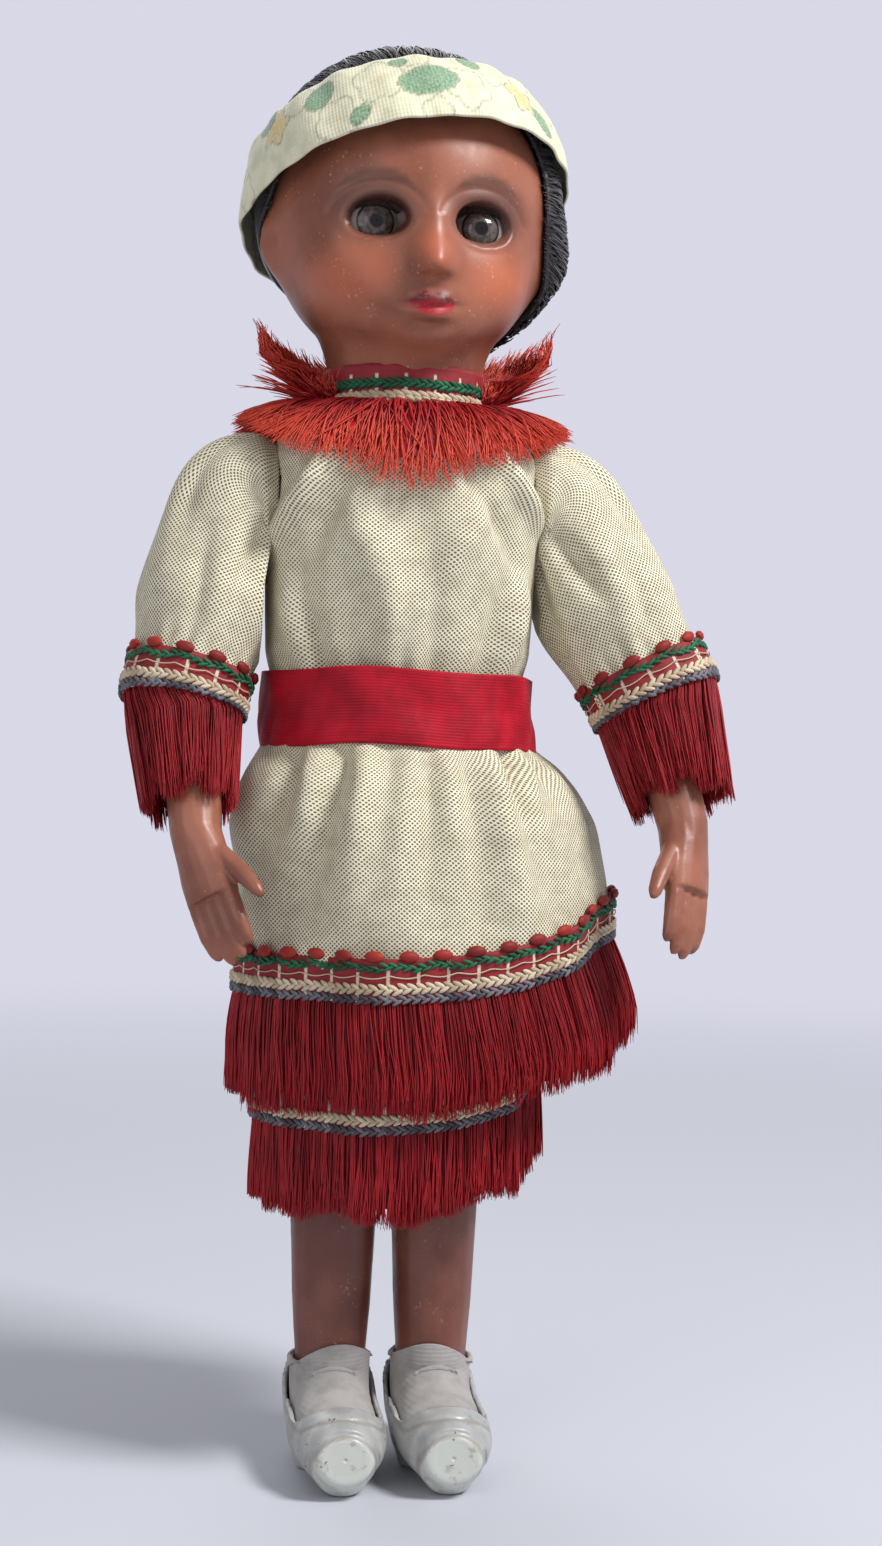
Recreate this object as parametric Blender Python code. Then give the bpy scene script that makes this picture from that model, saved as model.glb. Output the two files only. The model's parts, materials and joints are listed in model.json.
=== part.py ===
"""Strung costume doll in a belted, fringed tunic, modelled piece by piece.

The doll stands on Z = 0 and faces -Y, and its left side is +X. All lengths are in metres.
Each moving group hangs from an empty on its joint's axis: head, eyes, arms and legs.
"""

import math

import bmesh
import bpy
from mathutils import Matrix, Vector

# The doll's own axis stands off the origin, which is under the middle of its reach. Its head is
# turned a little to its left.
stance_x = -0.0037
stance_y = -0.0003
head_turn = math.radians(4)

# Clearances and walls that many pieces share
gap = 0.0003
plastic_wall = 0.0013
cloth_thickness = 0.0008
cut_overrun = 0.004

# Heights, each measured from the one before it
hip_height = 0.086
hip_to_waist = 0.019
hip_to_shoulder = 0.048
shoulder_to_neck = 0.0135
neck_to_head_centre = 0.0275

# Trunk, moulded as a front and a back half
trunk_half_width = 0.0149
trunk_half_depth = 0.0105
crotch_half_width = 0.0027
crotch_drop = 0.0077
pelvis_floor = 0.0102

# Legs and the pin that they swing on
leg_spread = 0.0072
leg_half_width = 0.0064
leg_half_depth = 0.0067
hip_disc_radius = 0.0083
hip_disc_width = 0.0094
hip_pin_radius = 0.001
hip_pin_head_radius = 0.0019
hip_pin_head_thickness = 0.0008
ankle_height = 0.0125
foot_half_width = 0.0049
foot_length = 0.0285
foot_toe_height = 0.0066
heel_reach = 0.0074

# Socks and shoes
sock_thickness = 0.0004
sock_height = 0.0155
shoe_ease = 0.0005
shoe_wall = 0.0008
shoe_sole = 0.0014
shoe_throat_height = 0.0098
shoe_throat_rise = 0.0035
shoe_throat_start = 0.0185

# Arms: each elbow stands off the skirt's half width, and the arm hangs forward by its swing
left_arm_standoff = 0.0094
right_arm_standoff = 0.0039
least_splay = math.radians(10)
left_arm_back_swing = math.radians(45)
right_arm_back_swing = math.radians(5)
arm_swing = math.radians(12)
elbow_bend = math.radians(12)
elbow_inward = math.radians(16.5)
wrist_inward = math.radians(11)
shoulder_radius = 0.0066
shoulder_reach = 0.0083
upper_arm_length = 0.027
upper_arm_radius = 0.005
forearm_length = 0.0225
elbow_radius = 0.0046
wrist_radius = 0.0035
palm_length = 0.01
palm_half_width = 0.0042
palm_half_thickness = 0.0024
finger_length = 0.0088
finger_radius = 0.00132
thumb_length = 0.0085
thumb_radius = 0.0014

# Stringing: one rubber band from arm to arm, and a peg that it pulls down on the head
post_radius = 0.0012
post_head_radius = 0.0024
post_head_thickness = 0.0012
post_in_arm = 0.005
post_reach = 0.006
band_radius = 0.0008
band_half_spread = 0.0036
peg_radius = 0.001
peg_button_radius = 0.0052
peg_button_thickness = 0.0009
washer_radius = 0.0058
washer_thickness = 0.0012

# Head
head_half_width = 0.0198
head_half_depth = 0.0186
head_half_height = 0.0215
neck_radius = 0.0104
neck_length = 0.0062
head_split_back = 0.002

# Sleeping eyes
eye_spread = 0.0073
eye_drop = 0.004
eye_forward = 0.0114
eye_radius = 0.0042
eye_opening_half_width = 0.0046
eye_opening_half_height = 0.0031
eye_wire_radius = 0.0004
eye_wire_reach = 0.0004
eye_stem_length = 0.0105
eye_stem_lean = math.radians(18)
eye_weight_radius = 0.0024
eye_weight_length = 0.006
bracket_thickness = 0.0012
bracket_rise = 0.0054
bracket_back = 0.005
bracket_ear_depth = 0.0007
bracket_ear_wall = 0.0004

# Wig and headband
wig_ease = 0.0008
wig_thickness = 0.0015
wig_nape_thickness = 0.0026
headband_width = 0.0106
headband_thickness = 0.0006
headband_tilt = math.radians(25)
headband_rise = 0.0062
headband_lean = math.radians(8)

# Tunic: bodice above the waist seam, skirt below it
bodice_half_width = 0.0186
bodice_half_depth = 0.0162
armhole_radius = 0.0085
waist_half_width = 0.0182
waist_half_depth = 0.0152
tunic_length_below_waist = 0.053
skirt_half_width = 0.0258
skirt_half_depth = 0.0222
underskirt_side_step = 0.0074
underskirt_front_step = 0.002
skirt_fold_depth = 0.0008
skirt_lean = 0.0044
underskirt_lean = 0.001

# Belt ribbon
belt_width = 0.0103
belt_thickness = 0.0005

# Fringe trims: a braided heading with a fringe of loose threads below it
heading_height = 0.0058
heading_thickness = 0.0012
fringe_thickness = 0.0014
upper_trim_drop = 0.0335
upper_fringe_length = 0.0165
upper_fringe_flare = 0.0018
upper_fringe_lean = 0.0014
lower_fringe_length = 0.0125
lower_fringe_draw = 0.0012
upper_trim_lift = 0.0085
lower_trim_lift = 0.0055
collar_height = 0.0052
collar_fringe_half_width = 0.0242
collar_fringe_half_depth = 0.0182
collar_fringe_side_drop = 0.0042
collar_fringe_front_drop = 0.0112
collar_fringe_puff = 0.0011

# Sleeves and their fringe
sleeve_cap_radius = 0.0094
sleeve_length = 0.0298
left_cuff_half_width = 0.0086
right_cuff_half_width = 0.0078
cuff_half_depth = 0.0078
sleeve_fringe_length = 0.0165
sleeve_fringe_draw = 0.0022

# Counts
ring_points = 16
cloth_points = 32

# Places that follow from the sizes above
hip_z = hip_height
waist_z = hip_z + hip_to_waist
shoulder_z = hip_z + hip_to_shoulder
neck_z = shoulder_z + shoulder_to_neck
head_z = neck_z + neck_to_head_centre
eye_z = head_z - eye_drop
arm_seat_x = trunk_half_width + gap
sleeve_seat_x = bodice_half_width + gap
underskirt_half_width = skirt_half_width - underskirt_side_step
underskirt_half_depth = skirt_half_depth - underskirt_front_step


def material(name, colour, roughness, metallic=0.0):
    """A plain Principled material."""
    made = bpy.data.materials.new(name)
    made.use_nodes = True
    shader = made.node_tree.nodes["Principled BSDF"]
    shader.inputs["Base Color"].default_value = (*colour, 1.0)
    shader.inputs["Roughness"].default_value = roughness
    shader.inputs["Metallic"].default_value = metallic
    return made


def body(name, place, parent=None):
    """An empty on a joint's axis, which carries the pieces that move together."""
    empty = bpy.data.objects.new(name, None)
    empty.location = Vector(place) - (parent.location if parent else Vector())
    empty.parent = parent
    bpy.context.scene.collection.objects.link(empty)
    empty["place"] = tuple(place)
    return empty


def add(name, form, finish, carrier):
    """Turns a bmesh in world places into an object that hangs from its carrier."""
    bmesh.ops.recalc_face_normals(form, faces=form.faces)
    mesh = bpy.data.meshes.new(name)
    form.to_mesh(mesh)
    form.free()
    if finish:
        mesh.materials.append(finish)
    mesh.shade_smooth()
    mesh.set_sharp_from_angle(angle=math.radians(38))
    mesh.transform(Matrix.Translation(-Vector(carrier["place"])))
    made = bpy.data.objects.new(name, mesh)
    made.parent = carrier
    bpy.context.scene.collection.objects.link(made)
    return made


def helper(name, form, carrier):
    """A cutter: it shapes its neighbours and isn't a piece of the doll."""
    made = add(name, form, None, carrier)
    made.hide_render = True
    made.display_type = "WIRE"
    return made


def boolean(piece, other, operation="DIFFERENCE"):
    modifier = piece.modifiers.new(f"{operation.lower()}_{other.name}", "BOOLEAN")
    modifier.operation = operation
    modifier.object = other


def mirrored(form):
    """The same form on the doll's right side."""
    bmesh.ops.scale(form, vec=(-1, 1, 1), verts=form.verts)
    bmesh.ops.reverse_faces(form, faces=form.faces)
    return form


def for_side(form, side):
    return form if side > 0 else mirrored(form)


def ring(centre, across, along, points=ring_points):
    """Points round an ellipse whose half axes are the vectors across and along."""
    turn = 2 * math.pi / points
    return [
        centre + across * math.cos(k * turn) + along * math.sin(k * turn)
        for k in range(points)
    ]


def level_ring(z, half_width, half_depth, x=0.0, y=0.0, points=ring_points):
    return ring(
        Vector((x, y, z)), Vector((half_width, 0, 0)), Vector((0, half_depth, 0)), points
    )


def loft(rings, loop=False):
    """Skins rings of equal count. The ends are capped, or joined to each other when loop is set.

    Every quad is split along its shorter diagonal, so a skin grown from another stays clear of it.
    """
    form = bmesh.new()
    rows = [[form.verts.new(p) for p in points] for points in rings]
    count = len(rows[0])
    pairs = list(zip(rows, rows[1:]))
    if loop:
        pairs.append((rows[-1], rows[0]))
    for low, high in pairs:
        for k in range(count):
            n = (k + 1) % count
            rising = (low[k].co - high[n].co).length
            falling = (low[n].co - high[k].co).length
            if rising <= falling:
                form.faces.new((low[k], low[n], high[n]))
                form.faces.new((low[k], high[n], high[k]))
            else:
                form.faces.new((low[k], low[n], high[k]))
                form.faces.new((low[n], high[n], high[k]))
    if not loop:
        form.faces.new(rows[0])
        form.faces.new(rows[-1])
    return form


def rod(start, end, radius, points=12):
    """A straight round bar between two places."""
    start, end = Vector(start), Vector(end)
    way = (end - start).normalized()
    side = way.orthogonal().normalized() * radius
    up = way.cross(side)
    return loft([ring(start, side, up, points), ring(end, side, up, points)])


def turned(profile, axis, start, points=16):
    """A turned form: profile holds (distance along the axis, radius) pairs."""
    axis = Vector(axis).normalized()
    side = axis.orthogonal().normalized()
    up = axis.cross(side)
    return loft(
        [ring(Vector(start) + axis * d, side * r, up * r, points) for d, r in profile]
    )


def block(low, high):
    """A box between two corners."""
    low, high = Vector(low), Vector(high)
    form = bmesh.new()
    bmesh.ops.create_cube(form, size=1)
    bmesh.ops.scale(form, vec=high - low, verts=form.verts)
    bmesh.ops.translate(form, vec=(low + high) / 2, verts=form.verts)
    return form


def wire(name, points, radius, finish, carrier, closed=False, sides=2):
    """A bent wire or band: a bevelled curve through its points, in world places."""
    curve = bpy.data.curves.new(name, "CURVE")
    curve.dimensions = "3D"
    curve.bevel_depth = radius
    curve.bevel_resolution = sides
    curve.use_fill_caps = not closed
    spline = curve.splines.new("POLY")
    spline.points.add(len(points) - 1)
    for slot, point in zip(spline.points, points):
        slot.co = (*(Vector(point) - Vector(carrier["place"])), 1)
    spline.use_cyclic_u = closed
    curve.materials.append(finish)
    made = bpy.data.objects.new(name, curve)
    made.parent = carrier
    bpy.context.scene.collection.objects.link(made)
    return made


def bell(angle, middle, spread):
    """1 at the middle angle, falling off smoothly over spread."""
    return math.exp(-(((angle - middle) / spread) ** 2))


# Trunk


# Height share from crotch to neck, then shares of half width and half depth
TRUNK_SHARES = (
    (0.0, 0.62, 0.66),
    (0.1, 0.88, 0.84),
    (0.22, 0.95, 0.93),
    (0.36, 0.86, 0.87),
    (0.5, 0.88, 0.92),
    (0.66, 0.97, 1.0),
    (0.8, 1.0, 0.92),
    (0.9, 0.93, 0.86),
    (0.96, 0.82, 0.82),
    (1.0, 0.72, 0.8),
)


def trunk_form(shrink=0.0, floor=None):
    """The trunk's outer form, or its hollow when shrink is the wall and floor its lowest level."""
    bottom = hip_z - crotch_drop
    top = neck_z - gap
    rings = []
    for height_share, width_share, depth_share in TRUNK_SHARES:
        z = bottom + (top - bottom) * height_share
        if floor is not None and z < floor:
            continue
        rings.append(
            level_ring(
                min(z, top - shrink),
                trunk_half_width * width_share - shrink,
                trunk_half_depth * depth_share - shrink,
            )
        )
    if floor is not None:
        first = [Vector((p.x, p.y, floor)) for p in rings[0]]
        rings.insert(0, first)
    return loft(rings)


def build_trunk(root, skin):
    """Two moulded halves, cemented along the sides, with bores for arms, head and hip pin."""
    hollow = helper("trunk_hollow", trunk_form(plastic_wall, hip_z + pelvis_floor), root)
    reach = trunk_half_width + cut_overrun
    arm_bore = helper(
        "arm_bore",
        rod((-reach, 0, shoulder_z), (reach, 0, shoulder_z), post_radius + gap),
        root,
    )
    neck_bore = helper(
        "neck_bore",
        rod((0, 0, shoulder_z), (0, 0, neck_z + cut_overrun), peg_radius + gap),
        root,
    )
    pin_bore = helper(
        "pin_bore", rod((-reach, 0, hip_z), (reach, 0, hip_z), hip_pin_radius + gap), root
    )
    sockets = []
    for side, name in ((1, "left"), (-1, "right")):
        seat = rod(
            (crotch_half_width, 0, hip_z), (reach, 0, hip_z), hip_disc_radius + gap, 28
        )
        sockets.append(helper(f"{name}_hip_seat", for_side(seat, side), root))
    slab_round = helper(
        "crotch_rounding",
        rod(
            (-crotch_half_width, 0, hip_z), (crotch_half_width, 0, hip_z), crotch_drop, 28
        ),
        root,
    )
    slab_sides = helper(
        "crotch_corners",
        block(
            (-reach, -trunk_half_depth - cut_overrun, hip_z - crotch_drop - cut_overrun),
            (reach, trunk_half_depth + cut_overrun, hip_z),
        ),
        root,
    )
    boolean(slab_sides, slab_round)
    for name, toward in (("trunk_front", 1), ("trunk_back", -1)):
        half = add(name, trunk_form(), skin, root)
        other = block(
            (-reach, 0, hip_z - crotch_drop - cut_overrun),
            (reach, trunk_half_depth + cut_overrun, neck_z + cut_overrun),
        )
        bmesh.ops.translate(other, vec=(0, -gap / 2, 0), verts=other.verts)
        if toward < 0:
            bmesh.ops.scale(other, vec=(1, -1, 1), verts=other.verts)
            bmesh.ops.reverse_faces(other, faces=other.faces)
        split = helper(f"{name}_split", other, root)
        for cutter in (hollow, split, arm_bore, neck_bore, pin_bore, slab_sides, *sockets):
            boolean(half, cutter)


# Arms and hands


def arm_splay(standoff):
    """How far an arm leans out for its elbow to stand off the skirt."""
    out = skirt_half_width + standoff - arm_seat_x - shoulder_reach
    return max(least_splay, math.asin(min(1.0, out / upper_arm_length)))


def arm_ways(splay):
    """Directions of the left upper arm, forearm and hand."""
    bent = arm_swing + elbow_bend
    turns = (
        (splay, arm_swing),
        (splay - elbow_inward, bent),
        (splay - elbow_inward - wrist_inward, bent),
    )
    return [
        Vector(
            (
                math.sin(out),
                -math.cos(out) * math.sin(forward),
                -math.cos(out) * math.cos(forward),
            )
        )
        for out, forward in turns
    ]


def arm_points(splay):
    """Places of the left arm's bend below the shoulder, its elbow, wrist and knuckles."""
    upper, fore, hand = arm_ways(splay)
    start = Vector((arm_seat_x + shoulder_reach, 0, shoulder_z))
    elbow = start + upper * upper_arm_length
    wrist = elbow + fore * forearm_length
    return start, elbow, wrist, wrist + hand * palm_length


def side_ring(x, radius, points):
    """A ring square to X round the shoulder's axis, started at its top."""
    centre = Vector((x, 0, shoulder_z))
    return ring(centre, Vector((0, 0, radius)), Vector((0, -radius, 0)), points)


def arm_ring(centre, way, half_width, half_depth, points):
    """A ring square to way, started at its outermost point and turning forwards."""
    first = (Vector((1, 0, 0.6)) - way * way.dot(Vector((1, 0, 0.6)))).normalized()
    return ring(centre, first * half_width, way.cross(first) * half_depth, points)


# Share along the upper arm, the forearm or the palm, then shares of its widths there
UPPER_ARM_SHARES = ((0.36, 1.03), (0.64, 1.0), (0.88, 0.94))
FOREARM_SHARES = ((0.06, 1.0), (0.25, 1.0), (0.55, 0.92), (0.82, 0.81), (1.0, 0.77))
PALM_SHARES = ((0.32, 0.9, 1.3), (0.66, 1.0, 1.12), (1.0, 0.98, 0.96))
# Share along a finger, then share of its radius
FINGER_SHARES = ((-0.5, 0.8), (0.1, 1.0), (0.6, 0.95), (0.9, 0.72), (1.0, 0.35))
# Finger places across the palm, and each finger's share of the longest
FINGER_PLACE_SHARES = ((-0.66, 0.86), (-0.22, 1.0), (0.22, 0.97), (0.66, 0.82))
finger_curl_share = 0.22


def finger(base, way, bend, length, radius):
    """A tapered finger that curls towards bend."""
    rings = []
    side = way.orthogonal().normalized()
    up = way.cross(side)
    for share, radius_share in FINGER_SHARES:
        curl = bend * (length * finger_curl_share * max(share, 0) ** 2)
        r = radius * radius_share
        rings.append(ring(base + way * (length * share) + curl, side * r, up * r, 8))
    return loft(rings)


def palm_axes(hand):
    """Directions of the palm's width, towards the thumb, and of its thickness, out of its back."""
    thumbward = Vector((-0.74, -0.67, 0))
    across = (thumbward - hand * hand.dot(thumbward)).normalized()
    return across, hand.cross(across).normalized()


def arm_form(splay):
    """Shoulder, upper arm, forearm and palm as one skin."""
    upper, fore, hand = arm_ways(splay)
    start, elbow, wrist, _ = arm_points(splay)
    points = 16
    turn = (Vector((1, 0, 0)) + upper).normalized()
    rings = [
        side_ring(arm_seat_x, shoulder_radius * 0.94, points),
        side_ring(arm_seat_x + shoulder_reach * 0.16, shoulder_radius, points),
        side_ring(arm_seat_x + shoulder_reach * 0.55, shoulder_radius * 0.97, points),
    ]
    bend_width = shoulder_radius * 0.9
    rings.append(arm_ring(start + upper * bend_width * 0.3, turn, bend_width, bend_width, points))
    for share, radius_share in UPPER_ARM_SHARES:
        r = upper_arm_radius * radius_share
        rings.append(arm_ring(start + upper * upper_arm_length * share, upper, r, r, points))
    for share, radius_share in FOREARM_SHARES:
        r = elbow_radius * radius_share
        rings.append(arm_ring(elbow + fore * forearm_length * share, fore, r, r, points))
    across, thick = palm_axes(hand)
    for share, width_share, thick_share in PALM_SHARES:
        palm = ring(
            wrist + hand * palm_length * share,
            across * palm_half_width * width_share,
            thick * palm_half_thickness * thick_share,
            points,
        )
        rings.append(lined_up(palm, rings[-1]))
    return loft(rings)


def lined_up(points, before):
    """Starts and turns a ring so that it joins the ring before it without a twist."""
    count = len(points)
    ways = [points[k:] + points[:k] for k in range(count)]
    ways += [way[::-1] for way in ways]
    middle = sum(points, Vector()) / count - sum(before, Vector()) / count
    return min(ways, key=lambda way: sum((p - middle - q).length for p, q in zip(way, before)))


def build_arm(side, splay, carrier, skin, steel):
    """An arm with its mitten hand, and the mushroom post that the rubber band grips."""
    name = "left" if side > 0 else "right"
    _, _, hand = arm_ways(splay)
    _, _, wrist, knuckles = arm_points(splay)
    across, thick = palm_axes(hand)
    arm = add(f"{name}_arm", for_side(arm_form(splay), side), skin, carrier)
    inward = thick if thick.x < 0 else -thick
    for k, (place_share, length_share) in enumerate(FINGER_PLACE_SHARES):
        base = knuckles + across * palm_half_width * place_share
        made = finger(base, hand, inward, finger_length * length_share, finger_radius)
        boolean(arm, helper(f"{name}_finger_{k}", for_side(made, side), carrier), "UNION")
    thumb_base = wrist + hand * palm_length * 0.4 + across * palm_half_width * 0.62
    thumb_way = (hand * 0.8 + across * 0.6).normalized()
    made = finger(thumb_base, thumb_way, hand, thumb_length, thumb_radius)
    boolean(arm, helper(f"{name}_thumb", for_side(made, side), carrier), "UNION")
    bore = rod(
        (arm_seat_x - cut_overrun, 0, shoulder_z),
        (arm_seat_x + post_in_arm + gap, 0, shoulder_z),
        post_radius + gap,
    )
    boolean(arm, helper(f"{name}_post_bore", for_side(bore, side), carrier))
    tip = arm_seat_x - post_reach
    post = turned(
        (
            (0, post_head_radius * 0.7),
            (post_head_thickness * 0.35, post_head_radius),
            (post_head_thickness, post_head_radius),
            (post_head_thickness * 1.01, post_radius),
            (post_reach + post_in_arm, post_radius),
        ),
        (1, 0, 0),
        (tip, 0, shoulder_z),
    )
    add(f"{name}_arm_post", for_side(post, side), steel, carrier)


def build_rubber_band(root, rubber):
    """One loop from post to post: two strands, and a turn over each post behind its head."""
    hook_x = arm_seat_x - post_reach + post_head_thickness + band_radius + gap
    over = post_radius + band_radius + gap
    slope = band_half_spread - over
    points = []
    for side in (1, -1):
        for k in range(9):
            turn = math.pi * k / 8
            points.append(
                (
                    side * hook_x,
                    side * over * math.cos(turn),
                    shoulder_z + over * math.sin(turn),
                )
            )
        away = side * (hook_x - slope)
        points.append((away, -side * band_half_spread, shoulder_z))
        points.append((-away, -side * band_half_spread, shoulder_z))
    wire("rubber_band", points, band_radius, rubber, root, closed=True, sides=1)


# Legs, socks and shoes


# Height share from ankle to hip, then shares of half width and half depth
LEG_SHARES = (
    (0.94, 0.93, 0.98),
    (0.86, 1.0, 1.04),
    (0.62, 0.99, 1.02),
    (0.46, 0.95, 0.96),
    (0.3, 0.97, 1.0),
    (0.12, 0.88, 0.94),
    (0.0, 0.775, 0.9),
)
# Share of the way from ankle to toe, then shares of half width, height and lift off the sole
FOOT_SHARES = (
    (0.22, 1.0, 0.94, 0.0),
    (0.5, 0.99, 0.88, 0.0),
    (0.74, 0.9, 1.0, 0.0),
    (0.9, 0.76, 1.0, 0.0),
    (0.97, 0.6, 0.86, 0.07),
    (1.0, 0.42, 0.56, 0.2),
)


def between(table, at):
    """Reads a table of shares at a place between its rows. Its first column rises or falls."""
    for low, high in zip(table, table[1:]):
        if min(low[0], high[0]) <= at <= max(low[0], high[0]):
            share = (at - low[0]) / (high[0] - low[0])
            return [a + (b - a) * share for a, b in zip(low[1:], high[1:])]
    nearest = min(table, key=lambda row: abs(row[0] - at))
    return list(nearest[1:])


def leg_ring(z, grow, points):
    """A level ring round the left leg, grown outwards by grow."""
    width_share, depth_share = between(LEG_SHARES, (z - ankle_height) / (hip_z - ankle_height))
    return level_ring(
        z,
        leg_half_width * width_share + grow,
        leg_half_depth * depth_share + grow,
        leg_spread,
        points=points,
    )


def foot_rings(grow=0.0, top=None, points=ring_points):
    """Rings down the left leg, round the heel and along the foot to the toe, grown outwards by grow.

    top drops the rings above that height and starts with one there.
    """
    foot_bottom = shoe_sole + shoe_ease + sock_thickness + gap
    ankle = ankle_height + grow
    if top is None:
        levels = [ankle + (hip_z - ankle) * height_share for height_share, _, _ in LEG_SHARES]
    else:
        levels = [top, ankle]
    rings = [leg_ring(z, grow, points) for z in levels]
    front = -leg_half_depth * LEG_SHARES[-1][2] - grow
    width = leg_half_width * LEG_SHARES[-1][1] + grow
    crease = Vector((leg_spread, front, ankle))
    for turn_share, reach_share in ((0.28, 1.0), (0.52, 1.02), (0.76, 0.86), (1.0, 0.9)):
        turn = math.pi / 2 * turn_share
        way = Vector((0, math.cos(turn), -math.sin(turn)))
        reach = (heel_reach + leg_half_depth) * reach_share + 2 * grow
        centre = crease + way * reach / 2
        side = Vector((width + (foot_half_width + grow - width) * turn_share, 0, 0))
        rings.append(ring(centre, side, way * reach / 2, points))
    instep = ankle_height - foot_bottom
    length = foot_length - heel_reach - leg_half_depth
    for along_share, width_share, height_share, lift_share in FOOT_SHARES:
        height = instep + (foot_toe_height - instep) * min(1.0, along_share * 1.25)
        centre_z = foot_bottom + height * (height_share / 2 + lift_share)
        height *= height_share
        rings.append(
            ring(
                Vector((leg_spread, front - length * along_share, centre_z)),
                Vector((foot_half_width * width_share + grow, 0, 0)),
                Vector((0, 0, -height / 2 - grow)),
                points,
            )
        )
    for p in rings[-1]:
        p.y -= grow
    for points_of_ring in rings:
        for p in points_of_ring:
            p.z = max(p.z, foot_bottom - grow)
    return rings


def build_leg(side, carrier, skin, sock_cloth, vinyl):
    """A leg with its hip disc, and the sock and shoe that it wears."""
    name = "left" if side > 0 else "right"
    leg = add(f"{name}_leg", for_side(loft(foot_rings()), side), skin, carrier)
    inner = crotch_half_width + gap
    disc = rod((inner, 0, hip_z), (inner + hip_disc_width, 0, hip_z), hip_disc_radius, 28)
    boolean(leg, helper(f"{name}_hip_disc", for_side(disc, side), carrier), "UNION")
    slab = rod((-inner, 0, hip_z), (inner, 0, hip_z), crotch_drop + gap, 28)
    boolean(leg, helper(f"{name}_crotch_clearance", for_side(slab, side), carrier))
    far = inner + hip_disc_width + cut_overrun
    pin = rod((0, 0, hip_z), (far, 0, hip_z), hip_pin_radius + gap)
    boolean(leg, helper(f"{name}_pin_bore", for_side(pin, side), carrier))
    sock_inner = foot_rings(gap, sock_height)
    sock_outer = foot_rings(gap + sock_thickness, sock_height)
    sock = loft(sock_inner[::-1] + sock_outer)
    add(f"{name}_sock", for_side(sock, side), sock_cloth, carrier)
    inside = gap + sock_thickness + shoe_ease
    shoe_inner = foot_rings(inside, sock_height + cut_overrun)
    shoe_outer = foot_rings(inside + shoe_wall, sock_height)
    for points_of_ring in shoe_outer:
        for p in points_of_ring:
            p.z = 0.0 if p.z < shoe_sole else p.z
    shoe = add(f"{name}_shoe", for_side(loft(shoe_outer), side), vinyl, carrier)
    boolean(shoe, helper(f"{name}_shoe_hollow", for_side(loft(shoe_inner), side), carrier))
    wide = leg_spread + foot_half_width + cut_overrun
    throat = bmesh.new()
    back = heel_reach + cut_overrun
    toe_side = -shoe_throat_start
    outline = (
        (back, shoe_throat_height + shoe_throat_rise),
        (toe_side, shoe_throat_height - shoe_throat_rise * 0.4),
        (toe_side, sock_height + cut_overrun),
        (back, sock_height + cut_overrun),
    )
    near = [throat.verts.new((-cut_overrun, y, z)) for y, z in outline]
    far_side = [throat.verts.new((wide, y, z)) for y, z in outline]
    throat.faces.new(near)
    throat.faces.new(far_side[::-1])
    for k in range(4):
        n = (k + 1) % 4
        throat.faces.new((near[k], far_side[k], far_side[n], near[n]))
    boolean(shoe, helper(f"{name}_shoe_throat", for_side(throat, side), carrier))


def build_hip_pin(root, steel):
    """The riveted pin through both hip discs and the crotch."""
    inside = crotch_half_width + gap + hip_disc_width + gap
    pin = turned(
        (
            (0, hip_pin_head_radius),
            (hip_pin_head_thickness, hip_pin_head_radius),
            (hip_pin_head_thickness * 1.01, hip_pin_radius),
            (hip_pin_head_thickness + 2 * inside, hip_pin_radius),
            (hip_pin_head_thickness * 1.01 + 2 * inside, hip_pin_head_radius),
            (2 * hip_pin_head_thickness + 2 * inside, hip_pin_head_radius),
        ),
        (1, 0, 0),
        (-inside - hip_pin_head_thickness, 0, hip_z),
    )
    add("hip_pin", pin, steel, root)


# Head


# Bumps on the head's egg: longitude, latitude, their spreads, and height as a share of half depth
HEAD_BUMP_SHARES = (
    (0, -50, 30, 13, 0.2),
    (0, -38, 42, 16, 0.13),
    (0, -40, 11, 6, 0.05),
    (0, -24.5, 8.5, 7, 0.16),
    (0, -14, 7, 10, 0.07),
    (38, -31, 20, 15, 0.075),
    (-38, -31, 20, 15, 0.075),
    (23, -12, 13, 9, -0.05),
    (-23, -12, 13, 9, -0.05),
    (0, 22, 45, 24, 0.035),
    (84, -16, 9, 15, 0.07),
    (-84, -16, 9, 15, 0.07),
    (180, 10, 60, 40, 0.05),
)


# Latitudes of the head's rings, closest together over the mouth, nose and eyes
HEAD_LATITUDES = (-55, -47, -40, -33, -27, -21, -14, -6, 3, 14, 27, 42, 58, 74, 86)


def head_radius(longitude, latitude):
    """Distance from the head's centre to its skin. Longitude 0 is the face, 90 the doll's left."""
    lon, lat = math.radians(longitude), math.radians(latitude)
    x = math.cos(lat) * math.sin(lon) / head_half_width
    y = math.cos(lat) * math.cos(lon) / head_half_depth
    z = math.sin(lat) / head_half_height
    radius = 1 / math.sqrt(x * x + y * y + z * z)
    for bump_lon, bump_lat, lon_spread, lat_spread, share in HEAD_BUMP_SHARES:
        away = (longitude - bump_lon + 180) % 360 - 180
        away *= max(0.2, math.cos(lat))
        near = bell(away, 0, lon_spread) * bell(latitude, bump_lat, lat_spread)
        radius += share * head_half_depth * near
    return radius


def head_point(longitude, latitude, grow=0.0):
    """A place on the head, grown outwards from its skin by grow."""
    lon, lat = math.radians(longitude), math.radians(latitude)
    way = Vector(
        (math.cos(lat) * math.sin(lon), -math.cos(lat) * math.cos(lon), math.sin(lat))
    )
    return Vector((0, 0, head_z)) + way * (head_radius(longitude, latitude) + grow)


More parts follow.
